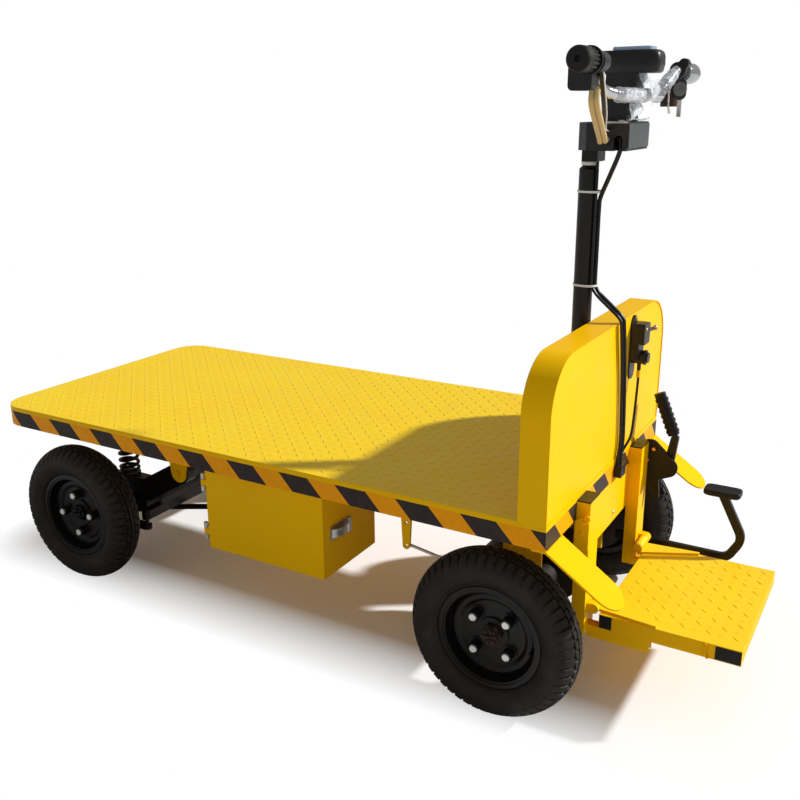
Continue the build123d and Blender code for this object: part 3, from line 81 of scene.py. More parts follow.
DECK_LOW, DECK_HIGH = corners("deck_plate")
RAIL_LOW, RAIL_HIGH = corners("side_rails")
STEP_LOW, STEP_HIGH = corners("step")
STEP_TREAD = next(np.array(m["pos_m"]) for m in frame["record"]["mounts"] if m["name"] == "step_tread")
COLUMN = next(np.array(j["pos_m"]) for j in frame["joints"] if j["name"] == "steering")
CORNER = 75 * MM
REAR = RAIL_LOW[0]
FRONT = DECK_HIGH[0]
HALF_WIDTH = DECK_HIGH[1]


class PaintSettings(bpy.types.PropertyGroup):
    """Colours of the main finishes."""
    yellow: bpy.props.FloatVectorProperty(
        name="Yellow enamel", description="Colour of the painted frame", subtype="COLOR", size=3,
        default=(0.95, 0.535, 0.0))
    # Also the painted shade on the upright faces of deck and step.
    shade: bpy.props.FloatVectorProperty(
        name="Yellow shade", description="Deeper yellow that clouds the enamel", subtype="COLOR", size=3,
        default=(0.93, 0.50, 0.0))
    deck: bpy.props.FloatVectorProperty(
        name="Deck yellow", description="Colour of the chequer plate", subtype="COLOR", size=3,
        default=(0.95, 0.66, 0.012))
    deck_shade: bpy.props.FloatVectorProperty(
        name="Deck shade", description="Deeper yellow that clouds the chequer plate", subtype="COLOR", size=3,
        default=(0.95, 0.62, 0.01))
    tape: bpy.props.FloatVectorProperty(
        name="Tape orange", description="Orange-yellow bands of the hazard tape", subtype="COLOR", size=3,
        default=(0.98, 0.38, 0.0))
    black: bpy.props.FloatVectorProperty(
        name="Black enamel", description="Colour of the column, arms and rims", subtype="COLOR", size=3,
        default=(0.006, 0.005, 0.004))
    rubber: bpy.props.FloatVectorProperty(
        name="Tyre rubber", description="Colour of the tyres", subtype="COLOR", size=3,
        default=(0.014, 0.011, 0.009))


class TreadSettings(bpy.types.PropertyGroup):
    """Sizes of the block tread."""
    pitches: bpy.props.IntProperty(
        name="Pitches", description="Tread blocks round the tyre", default=52, min=12)
    depth: bpy.props.FloatProperty(
        name="Groove depth", description="Depth of the tread grooves", default=4.2 * MM, unit="LENGTH")
    zigzag: bpy.props.FloatProperty(
        name="Zigzag", description="Sideways swing of the round grooves", default=1.8 * MM, unit="LENGTH")


class DeckSettings(bpy.types.PropertyGroup):
    """Sizes of the chequer plate and of the hazard tape."""
    lozenge_length: bpy.props.FloatProperty(
        name="Lozenge length", description="Length of one raised lozenge", default=23 * MM, unit="LENGTH")
    lozenge_width: bpy.props.FloatProperty(
        name="Lozenge width", description="Width of one raised lozenge", default=5.2 * MM, unit="LENGTH")
    lozenge_height: bpy.props.FloatProperty(
        name="Lozenge height", description="Height of one raised lozenge", default=1.1 * MM, unit="LENGTH")
    lozenge_pitch: bpy.props.FloatProperty(
        name="Lozenge pitch", description="Spacing of the lozenges", default=27 * MM, unit="LENGTH")
    tape_width: bpy.props.FloatProperty(
        name="Tape width", description="Width of the hazard tape", default=41 * MM, unit="LENGTH")
    stripe_period: bpy.props.FloatProperty(
        name="Stripe period", description="One black and one orange band along the tape",
        default=153.4 * MM, unit="LENGTH")


class StageSettings(bpy.types.PropertyGroup):
    """Light and camera."""
    sun_strength: bpy.props.FloatProperty(
        name="Key light", description="Strength of the key light", default=4.35)
    sun_width: bpy.props.FloatProperty(
        name="Key width", description="Apparent width of the key light", subtype="ANGLE",
        default=math.radians(2.5))
    fill_strength: bpy.props.FloatProperty(
        name="Fill light", description="Strength of the surrounding light", default=0.32)
    focal_length: bpy.props.FloatProperty(
        name="Focal length", description="Lens on a 36 mm wide sensor", default=41.4925)


SETTINGS = (
    ("cart_paint", PaintSettings),
    ("cart_tread", TreadSettings),
    ("cart_deck", DeckSettings),
    ("cart_stage", StageSettings),
)


# Shapes

def shell(points, wrap_u=False, wrap_v=False, uv=None):
    """One grid of points: rows along u, columns along v, closed on itself where it wraps."""
    return {"points": np.asarray(points, float), "wrap": (wrap_u, wrap_v), "uv": uv}


def grid_faces(rows, columns, wrap_u, wrap_v):
    """Corner numbers of the quads between neighbouring rows and columns of a grid."""
    u = np.arange(rows if wrap_u else rows - 1)[:, None]
    v = np.arange(columns if wrap_v else columns - 1)[None, :]
    u_next = (u + 1) % rows
    v_next = (v + 1) % columns
    ring = (u * columns + v, u * columns + v_next, u_next * columns + v_next, u_next * columns + v)
    return np.stack(np.broadcast_arrays(*ring), -1).reshape(-1, 4)


def mesh_from(name, shells):
    """Join grids into one mesh, merge seams and poles and turn the faces outwards."""
    points, faces, uvs, start = [], [], [], 0
    for part in shells:
        rows, columns = part["points"].shape[:2]
        quads = grid_faces(rows, columns, *part["wrap"])
        points.append(part["points"].reshape(-1, 3))
        faces.append(quads + start)
        uv = np.zeros((rows * columns, 2)) if part["uv"] is None else part["uv"].reshape(-1, 2)
        uvs.append(uv[quads])
        start += rows * columns
    mesh = bpy.data.meshes.new(name)
    mesh.from_pydata(np.concatenate(points).tolist(), [], np.concatenate(faces).tolist())
    layer = mesh.uv_layers.new(name="surface")
    layer.data.foreach_set("uv", np.concatenate(uvs).reshape(-1).astype(np.float32))
    work = bmesh.new()
    work.from_mesh(mesh)
    bmesh.ops.remove_doubles(work, verts=work.verts, dist=1e-6)
    bmesh.ops.dissolve_degenerate(work, edges=work.edges, dist=1e-7)
    bmesh.ops.recalc_face_normals(work, faces=work.faces)
    work.to_mesh(mesh)
    work.free()
    return mesh


def piece(name, shells, finish, body, replaces=(), sharp=35.0, span=None):
    """Make one object from grids with its finish, on the body that carries it; given a span, it stays in place on
    no body.
    """
    mesh = mesh_from(name, shells)
    mesh.polygons.foreach_set("use_smooth", np.ones(len(mesh.polygons), bool))
    mesh.set_sharp_from_angle(angle=math.radians(sharp))
    mesh.materials.append(bpy.data.materials[finish])
    made = bpy.data.objects.new(name, mesh)
    bpy.context.scene.collection.objects.link(made)
    if span:
        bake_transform(made)
    else:
        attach(made, body)
    if replaces:
        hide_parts(*replaces)
    return made


def unit(vector):
    """Vectors scaled to length one along the last axis."""
    vector = np.asarray(vector, float)
    return vector / np.linalg.norm(vector, axis=-1, keepdims=True)


def axes_for(direction):
    """Two directions at right angles to each given direction and to each other."""
    along = unit(direction)
    steep = np.abs(along[..., 2:3]) > 0.9
    helper = np.where(steep, np.array([1.0, 0.0, 0.0]), np.array([0.0, 0.0, 1.0]))
    first = unit(np.cross(helper, along))
    return first, np.cross(along, first)


def lathe(profile, centre, axis, sides=32):
    """Surface of revolution: pairs of height along the axis and radius, turned about the axis."""
    profile = np.asarray(profile, float)
    across, over = axes_for(axis)
    angle = np.arange(sides) * (2 * math.pi / sides)
    ring = np.cos(angle)[:, None] * across + np.sin(angle)[:, None] * over
    along = np.asarray(centre, float) + profile[:, :1] * unit(axis)
    return shell(along[:, None, :] + profile[:, 1, None, None] * ring[None], wrap_v=True)


def behind(points):
    """Millimetres ahead of the deck's rear edge, left of the middle and above ground, as row places."""
    return np.asarray(points, float) * MM + np.array([REAR, 0.0, 0.0])


def smooth(points, steps=8):
    """Points along a Catmull-Rom curve through the given points."""
    points = np.asarray(points, float)
    padded = np.concatenate([2 * points[:1] - points[1:2], points, 2 * points[-1:] - points[-2:-1]])
    a, b, c, d = (padded[k:len(points) - 1 + k, None] for k in range(4))
    t = (np.arange(steps) / steps)[None, :, None]
    curve = b + 0.5 * ((c - a) * t + (2 * a - 5 * b + 4 * c - d) * t ** 2 + (3 * b - a - 3 * c + d) * t ** 3)
    return np.concatenate([curve.reshape(-1, 3), points[-1:]])


def tube(path, radius, helper=(0.0, 1.0, 0.0), sides=10):
    """A round section carried along a path, with closed ends; radius may vary along it."""
    path = np.asarray(path, float)
    along = unit(np.gradient(path, axis=0))
    across = unit(np.cross(along, np.asarray(helper, float)))
    over = np.cross(across, along)
    angle = np.arange(sides) * (2 * math.pi / sides)
    cos, sin = np.cos(angle)[None, :, None], np.sin(angle)[None, :, None]
    ring = cos * across[:, None] + sin * over[:, None]
    points = path[:, None] + np.broadcast_to(radius, len(path))[:, None, None] * ring
    ends = [np.repeat(path[k][None, None], sides, 1) for k in (0, -1)]
    return shell(np.concatenate([ends[0], points, ends[1]]), wrap_v=True)


def slab(low, high):
    """Block between two corners: a square section carried upwards, closed to a point on each end face."""
    low, high = np.asarray(low, float), np.asarray(high, float)
    middle, half = (low + high) / 2, (high - low) / 2
    turn = np.array([[-1, -1], [1, -1], [1, 1], [-1, 1]])
    levels = ((-1, 0), (-1, 1), (1, 1), (1, 0))
    rows = [np.concatenate([turn * out, np.full((4, 1), level)], 1) for level, out in levels]
    return shell(middle + half * np.array(rows), wrap_v=True)


def head(centre, axis, radius, height, sides=6):
    """Head of a bolt, nut or rivet: a prism, sunk a little, with its top edge broken."""
    sunk = -0.3 * MM
    profile = [(sunk, 0.0), (sunk, radius), (0.72 * height, radius), (height, 0.82 * radius), (height, 0.0)]
    return lathe(profile, centre, axis, sides)


def drum(radius, height):
    """Profile of a closed cylinder."""
    return [(0.0, 0.0), (0.0, radius), (height, radius), (height, 0.0)]


def hoop(low, high, inner, outer):
    """Profile of a closed ring of square section."""
    return [(low, inner), (low, outer), (high, outer), (high, inner), (low, inner)]


def millimetres(pairs):
    """Pairs in millimetres as lengths in metres."""
    return np.asarray(pairs, float) * MM


def squarish(count, half, power):
    """Points round a superellipse: powers of cosine and sine below one square its outline off."""
    turn = np.linspace(0.0, 2 * math.pi, count, endpoint=False)
    ways = np.stack([np.cos(turn), np.sin(turn)], 1)
    return np.sign(ways) * np.abs(ways) ** power * np.asarray(half, float)


def layers(outline, middle, rows):
    """An outline carried upwards: pairs of level and scale, closed where the scale is zero."""
    grid = [np.concatenate([outline * scale + middle, np.full((len(outline), 1), level)], 1)
            for level, scale in rows]
    return np.array(grid)


def placement(x_axis, y_axis, z_axis, place):
    """Placement from three axes and a point, as rows of a transposed 4 by 4 matrix."""
    matrix = np.eye(4)
    matrix[:3] = np.stack([x_axis, y_axis, z_axis, place], 1)
    return [[float(value) for value in row] for row in matrix.T]


# Finishes

class Graph:
    """A material's nodes, with short calls for what the finishes share."""

    def __init__(self, name):
        self.material = bpy.data.materials.new(name)
        self.material.use_nodes = True
        self.tree = self.material.node_tree
        self.shader = self.tree.nodes["Principled BSDF"]
        self.coords = self.node("ShaderNodeTexCoord")
        self.place = self.coords.outputs["Object"]

    def put(self, socket, value):
        """Link an output, or set a constant, on an input."""
        if isinstance(value, bpy.types.NodeSocket):
            self.tree.links.new(value, socket)
        else:
            socket.default_value = value

    def node(self, kind, inputs=(), **settings):
        """Add one node with its settings and inputs."""
        made = self.tree.nodes.new(kind)
        for key, value in settings.items():
            setattr(made, key, value)
        for key, value in dict(inputs).items():
            self.put(made.inputs[key], value)
        return made

    def surface(self, **values):
        """Set inputs of the shader; underscores stand for spaces."""
        for key, value in values.items():
            self.put(self.shader.inputs[key.replace("_", " ")], value)

    def noise(self, scale, detail=3.0, rough=0.55, place=None):
        """Cloudy noise from zero to one, with scale in features per metre."""
        inputs = {"Vector": place or self.place, "Scale": scale, "Detail": detail, "Roughness": rough}
        return self.node("ShaderNodeTexNoise", inputs).outputs["Fac"]

    def math(self, operation, first, second=0.0):
        """One arithmetic step."""
        return self.node("ShaderNodeMath", {0: first, 1: second}, operation=operation).outputs[0]

    def vector(self, operation, first, second=(0.0, 0.0, 0.0)):
        """One step of vector arithmetic."""
        return self.node("ShaderNodeVectorMath", {0: first, 1: second}, operation=operation).outputs["Vector"]

    def spread(self, value, low, high, to_low=0.0, to_high=1.0):
        """Map one range of values to another, clamped."""
        inputs = {"Value": value, "From Min": low, "From Max": high, "To Min": to_low, "To Max": to_high}
        return self.node("ShaderNodeMapRange", inputs).outputs["Result"]

    def blend(self, factor, first, second):
        """Mix two colours."""
        mix = self.node("ShaderNodeMix", data_type="RGBA")
        for key, value in ((0, factor), (6, first), (7, second)):
            self.put(mix.inputs[key], value)
        return mix.outputs[2]

    def bump(self, height, distance, strength=1.0, soft_edge=0.0):
        """Give the shader a bumpy normal, with edges rounded off where a radius is given."""
        inputs = {"Height": height, "Distance": distance, "Strength": strength}
        if soft_edge:
            bevel = self.node("ShaderNodeBevel", {"Radius": soft_edge}, samples=4)
            inputs["Normal"] = bevel.outputs["Normal"]
        self.surface(Normal=self.node("ShaderNodeBump", inputs).outputs["Normal"])


def opaque(colour):
    """A colour with full alpha, as sockets take it."""
    return (*colour[:3], 1.0)


def enamel(name, colour, shade, roughness=0.34, gloss=0.06, grime=(0.10, 0.06, 0.015), soft_edge=1.2 * MM,
           edges=None, upright_gloss=0.06):
    """Sprayed enamel: cloudy colour, orange peel, specks of grime and softened edges; upright faces may take a
    colour of painted shade and a gloss of their own."""
    paint = Graph(name)
    clouds = paint.noise(5.0, 4.0)
    tone = paint.blend(paint.spread(clouds, 0.35, 0.7), opaque(colour), opaque(shade))
    specks = paint.spread(paint.noise(120.0, 2.0), 0.70, 0.78)
    patches = paint.spread(paint.noise(9.0, 3.0), 0.5, 0.7)
    dirt = paint.math("MULTIPLY", paint.math("MULTIPLY", specks, patches), 0.5)
    # Painted shade: faces that do not look up blend to the deeper colour passed as edges, with their own gloss.
    if edges:
        facing = paint.node("ShaderNodeSeparateXYZ", {"Vector": paint.coords.outputs["Normal"]}).outputs["Z"]
        tone = paint.blend(paint.spread(facing, 0.4, 0.8), opaque(edges), tone)
        gloss = paint.spread(facing, 0.4, 0.8, upright_gloss, gloss)
    paint.surface(Base_Color=paint.blend(dirt, tone, opaque(grime)))
    peel = paint.noise(330.0, 2.0)
    worn = paint.noise(14.0, 4.0)
    paint.surface(Roughness=paint.spread(worn, 0.3, 0.75, roughness - 0.05, roughness + 0.12))
    paint.surface(Specular_IOR_Level=gloss)
    paint.bump(peel, 0.15 * MM, 0.5, soft_edge)
    return paint.material


def moulded(name, colour, dust, roughness=0.5, grain=900.0, grain_depth=0.1 * MM, gloss=0.25):
    """Moulded rubber or plastic: fine grain, dusty clouds and uneven gloss."""
    skin = Graph(name)
    clouds = skin.spread(skin.noise(18.0, 5.0), 0.45, 0.8, 0.0, 0.6)
    skin.surface(Base_Color=skin.blend(clouds, opaque(colour), opaque(dust)))
    skin.surface(Roughness=skin.spread(skin.noise(45.0), 0.3, 0.7, roughness - 0.08, roughness + 0.1))
    skin.surface(Specular_IOR_Level=gloss)
    skin.bump(skin.noise(grain, 2.0), grain_depth, 0.6)
    return skin.material


def plated(name, colour, tarnish, roughness=0.25):
    """Plated steel: streaked gloss with clouds of tarnish."""
    metal = Graph(name)
    clouds = metal.spread(metal.noise(60.0, 5.0), 0.5, 0.75)
    metal.surface(Base_Color=metal.blend(clouds, opaque(colour), opaque(tarnish)), Metallic=1.0)
    streaks = metal.noise(220.0, 4.0)
    metal.surface(Roughness=metal.spread(streaks, 0.3, 0.7, roughness - 0.08, roughness + 0.15))
    metal.bump(metal.noise(700.0, 2.0), 0.04 * MM, 0.4)
    return metal.material


def hazard_tape(name, black_share=0.52):
    """Slanted black and orange bands: along the tape u counts bands and v, up the tape, shifts them."""
    tape = Graph(name)
    place = tape.node("ShaderNodeSeparateXYZ", {"Vector": tape.coords.outputs["UV"]})
    bands = tape.math("FRACT", tape.math("ADD", place.outputs["X"], 100.0))
    dark = tape.math("LESS_THAN", bands, black_share)
    worn = tape.spread(tape.noise(70.0, 4.0), 0.35, 0.75)
    light = tape.blend(worn, opaque(bpy.context.scene.cart_paint.tape), (0.90, 0.33, 0.0, 1.0))
    ink = tape.blend(worn, (0.036, 0.026, 0.023, 1.0), (0.050, 0.038, 0.033, 1.0))
    tape.surface(Base_Color=tape.blend(dark, light, ink))
    tape.surface(Roughness=tape.spread(worn, 0.0, 1.0, 0.34, 0.5), Specular_IOR_Level=0.1)
    tape.bump(tape.noise(160.0, 2.0), 0.12 * MM, 0.5)
    return tape.material


def yellow_enamel(name):
    """Gloss yellow of the frame."""
    paint = bpy.context.scene.cart_paint
    return enamel(name, paint.yellow, paint.shade)


def black_enamel(name):
    """Satin black of the column, arms and rims."""
    paint = bpy.context.scene.cart_paint
    return enamel(name, paint.black, (0.011, 0.008, 0.006), 0.34, 0.3, (0.06, 0.045, 0.03), 1.0 * MM)


def tyre_rubber(name):
    """Tyre rubber, a little dusty."""
    return moulded(name, bpy.context.scene.cart_paint.rubber, (0.034, 0.029, 0.025), 0.58, 600.0, 0.15 * MM)


def grip_rubber(name):
    """Matt black rubber of grips and pedal."""
    return moulded(name, (0.008, 0.007, 0.006), (0.018, 0.016, 0.014), 0.5)


def black_plastic(name):
    """Fine-grained black plastic of the housings."""
    return moulded(name, (0.008, 0.007, 0.007), (0.016, 0.015, 0.015), 0.34, 1400.0, 0.05 * MM, 0.4)


def cast_iron(name):
    """Black-painted casting with a coarse skin."""
    return moulded(name, (0.016, 0.014, 0.013), (0.05, 0.04, 0.032), 0.6, 260.0, 0.4 * MM)


def battery_case(name):
    """Dull moulded case of the battery."""
    return moulded(name, (0.05, 0.05, 0.056), (0.09, 0.09, 0.09), 0.5)


def zinc(name):
    """Zinc-plated steel of fittings and nuts."""
    return plated(name, (0.62, 0.60, 0.56), (0.40, 0.36, 0.30), 0.34)


def chrome(name):
    """Bright plating of the handlebar."""
    return plated(name, (0.80, 0.80, 0.82), (0.66, 0.67, 0.70), 0.12)


def grey_cover(name):
    """Grey see-through cover, faintly ribbed."""
    cover = moulded(name, (0.085, 0.10, 0.10), (0.15, 0.17, 0.17), 0.3)
    cover.node_tree.nodes["Principled BSDF"].inputs["Transmission Weight"].default_value = 0.45
    return cover


def display_glass(name):
    """Gloss cover over the display, tinted pale blue as a painted sky reflection."""
    # Painted reflection: the pale blue base and its lighter clouds stand in for sky seen in the glass.
    glass = moulded(name, (0.30, 0.42, 0.58), (0.50, 0.62, 0.76), 0.12, 300.0, 0.01 * MM)
    glass.node_tree.nodes["Principled BSDF"].inputs["Coat Weight"].default_value = 1.0
    return glass


def deck_enamel(name):
    """Yellow of the chequer plate, duller and more scuffed, with painted shade in the deeper frame yellow on its
    upright faces.
    """
    paint = bpy.context.scene.cart_paint
    # Painted shade: the upright faces of deck and step take the deeper yellow.
    return enamel(name, paint.deck, paint.deck_shade, 0.40, 0.3, (0.30, 0.20, 0.05), edges=paint.shade)


def cable_sheath(name):
    """Smooth black sheath of the cables."""
    return moulded(name, (0.010, 0.009, 0.009), (0.020, 0.017, 0.015), 0.32, 500.0, 0.05 * MM)


def cream_sheath(name):
    """Cream to ochre sheath of the horn wires."""
    return moulded(name, (0.62, 0.45, 0.20), (0.72, 0.50, 0.16), 0.42, 500.0, 0.05 * MM)


def nylon(name):
    """White nylon of ties and collar."""
    return moulded(name, (0.78, 0.77, 0.75), (0.66, 0.65, 0.62), 0.4)


def bright_tip(name):
    """Bright ends of the wheel studs."""
    return plated(name, (0.92, 0.92, 0.90), (0.80, 0.80, 0.78), 0.45)


def copper(name):
    """Coppery plating of small bolts and the lever."""
    return plated(name, (0.78, 0.42, 0.20), (0.50, 0.26, 0.13), 0.3)


def brown_steel(name):
    """Dull brown steel of the hub nuts and the lock."""
    return moulded(name, (0.040, 0.020, 0.014), (0.085, 0.045, 0.030), 0.45, 400.0, 0.1 * MM)


def fob_plastic(name):
    """Dark grey-green plastic of the key fob."""
    return moulded(name, (0.12, 0.135, 0.125), (0.19, 0.20, 0.19), 0.4)


def film(name, silver=0.0, dull=(0.70, 0.74, 0.80), milky=(0.92, 0.94, 0.96)):
    """Clinging clear film: wrinkled, glossy, partly see-through and milky in patches."""
    wrap = Graph(name)
    folds = wrap.noise(150.0, 4.0, 0.6)
    wrap.surface(Base_Color=wrap.blend(wrap.noise(60.0), opaque(dull), opaque(milky)))
    wrap.surface(Roughness=wrap.spread(folds, 0.3, 0.7, 0.05, 0.3), Coat_Weight=0.6, Metallic=silver)
    wrap.surface(Alpha=wrap.spread(folds, 0.35, 0.65, 0.25 + 0.75 * silver, 1.0))
    wrap.bump(folds, 1.6 * MM, 0.8)
    return wrap.material


def silver_film(name):
    """Film over the right grip, silvery and close."""
    return film(name, 1.0, (0.36, 0.38, 0.37), (0.68, 0.70, 0.69))


FINISHES = {
    "yellow enamel": ("yellow_paint", yellow_enamel),
    "deck enamel": ("deck_plate_paint", deck_enamel),
    "cable sheath": ("wire_cover", cable_sheath),
    "cream sheath": ("wire_cover", cream_sheath),
    "nylon": ("wire_cover", nylon),
    "black enamel": ("black_paint", black_enamel),
    "hazard tape": ("yellow_paint", hazard_tape),
    "tyre rubber": ("tyre_rubber", tyre_rubber),
    "grip rubber": ("black_rubber", grip_rubber),
    "black plastic": ("black_plastic", black_plastic),
    "cast iron": ("axle_iron", cast_iron),
    "battery case": ("battery_case", battery_case),
    "zinc": ("bright_steel", zinc),
    "bright tip": ("bright_steel", bright_tip),
    "copper": ("bright_steel", copper),
    "brown steel": ("bright_steel", brown_steel),
    "fob plastic": ("black_plastic", fob_plastic),
    "chrome": ("chrome", chrome),
    "grey cover": ("grey_lens", grey_cover),
    "display glass": ("display_glass", display_glass),
    "film": ("grey_lens", film),
    "silver film": ("grey_lens", silver_film),
}
SLOT_FINISH = {slot: finish for finish, (slot, make) in reversed(FINISHES.items())}


# Operators

class CART_OT_stage(bpy.types.Operator):
    """Floor, surrounding light, key light and camera"""
    bl_idname = "cart.stage"
    bl_label = "Stage"

    camera_place = (-1.20665, 1.92839, 1.24464)
    camera_azimuth = math.radians(210.6439)
    camera_elevation = math.radians(17.3801)
    camera_roll = math.radians(-0.5426)
    lens_shift = (0.00709, -0.00469)
    key_travel = (1.37, 0.92, -1.0)
    floor_reach = 30.0
    # Part of the floor that keeps its shade for the eye, and the width over which it fades to white
    shade_middle = (0.02, -0.20, 0.0)
    shade_half = (0.95, 0.42, 1.0)
    shade_fade = 0.22

    def execute(self, context):
        stage = context.scene.cart_stage
        context.scene.view_settings.view_transform = "Standard"
        self.floor()
        self.world(context.scene, stage.fill_strength)
        self.key(stage)
        self.camera(context.scene, stage.focal_length)
        return {"FINISHED"}

    def floor(self):
        """Flat pale floor at ground height."""
        reach = np.linspace(-self.floor_reach, self.floor_reach, 3)
        across, along = np.meshgrid(reach, reach, indexing="ij")
        mesh = mesh_from("floor", [shell(np.stack([across, along, 0 * along], -1))])
        pale = Graph("pale floor")
        seen = pale.node("ShaderNodeLightPath").outputs["Is Camera Ray"]
        tone = pale.blend(pale.noise(0.8), (0.66, 0.66, 0.66, 1.0), (0.70, 0.70, 0.70, 1.0))
        pale.surface(Base_Color=pale.blend(seen, tone, (1.0, 1.0, 1.0, 1.0)))
        pale.surface(Roughness=0.9, Specular_IOR_Level=0.0)
        aside = pale.vector("ABSOLUTE", pale.vector("SUBTRACT", pale.place, self.shade_middle))
        beyond = pale.vector("MAXIMUM", pale.vector("SUBTRACT", aside, self.shade_half))
        apart = pale.node("ShaderNodeVectorMath", {0: beyond}, operation="LENGTH").outputs["Value"]
        fade = pale.math("MULTIPLY", seen, pale.spread(apart, 0.0, self.shade_fade))
        white = pale.node("ShaderNodeEmission", {"Color": (1.0, 1.0, 1.0, 1.0), "Strength": 1.0})
        mix = pale.node("ShaderNodeMixShader", {0: fade, 1: pale.shader.outputs[0], 2: white.outputs[0]})
        pale.put(pale.tree.nodes["Material Output"].inputs["Surface"], mix.outputs[0])
        mesh.materials.append(pale.material)
        floor = bpy.data.objects.new("floor", mesh)
        bpy.context.scene.collection.objects.link(floor)

    def world(self, scene, strength):
        """White for the eye, also through clear covers, and softer as a light."""
        scene.world = bpy.data.worlds.new("studio")
        scene.world.use_nodes = True
        nodes = scene.world.node_tree.nodes
        links = scene.world.node_tree.links
        path = nodes.new("ShaderNodeLightPath")
        seen = nodes.new("ShaderNodeMath")
        seen.operation = "MAXIMUM"
        links.new(path.outputs["Is Camera Ray"], seen.inputs[0])
        links.new(path.outputs["Is Transmission Ray"], seen.inputs[1])
        level = nodes.new("ShaderNodeMapRange")
        level.inputs["To Min"].default_value = strength
        level.inputs["To Max"].default_value = 1.0
        links.new(seen.outputs[0], level.inputs["Value"])
        background = nodes["Background"]
        background.inputs["Color"].default_value = (1.0, 1.0, 1.0, 1.0)
        links.new(level.outputs["Result"], background.inputs["Strength"])

    def key(self, stage):
        """Key light from behind the driver's right shoulder."""
        lamp = bpy.data.lights.new("key", "SUN")
        lamp.energy = stage.sun_strength
        lamp.angle = stage.sun_width
        key = bpy.data.objects.new("key", lamp)
        bpy.context.scene.collection.objects.link(key)
        away = unit(-np.array(self.key_travel))
        across, over = axes_for(away)
        key.matrix_world = placement(across, over, away, (0.0, 0.0, 3.0))

    def camera(self, scene, focal_length):
        """Camera at the photograph's angle and distance."""
        lens = bpy.data.cameras.new("camera")
        lens.sensor_width = 36.0
        lens.lens = focal_length
        lens.shift_x, lens.shift_y = self.lens_shift
        camera = bpy.data.objects.new("camera", lens)
        scene.collection.objects.link(camera)
        flat = math.cos(self.camera_elevation)
        back = np.array([
            math.sin(self.camera_azimuth) * flat, -math.cos(self.camera_azimuth) * flat,
            math.sin(self.camera_elevation)])
        right = unit(np.cross(-back, (0.0, 0.0, 1.0)))
        up = np.cross(right, -back)
        cos, sin = math.cos(self.camera_roll), math.sin(self.camera_roll)
        turned = (cos * right + sin * up, cos * up - sin * right, back)
        camera.matrix_world = placement(*turned, self.camera_place)
        scene.camera = camera


class CART_OT_finishes(bpy.types.Operator):
    """Make every finish and give each carried-over node its own"""
    bl_idname = "cart.finishes"
    bl_label = "Finishes"

    def execute(self, context):
        for finish, (slot, make) in FINISHES.items():
            make(finish)
        for subpart in frame["record"]["subparts"]:
            materials = frame["nodes"][subpart["node"]].data.materials
            materials.clear()
            materials.append(bpy.data.materials[SLOT_FINISH[subpart["material_slot"]]])
        return {"FINISHED"}


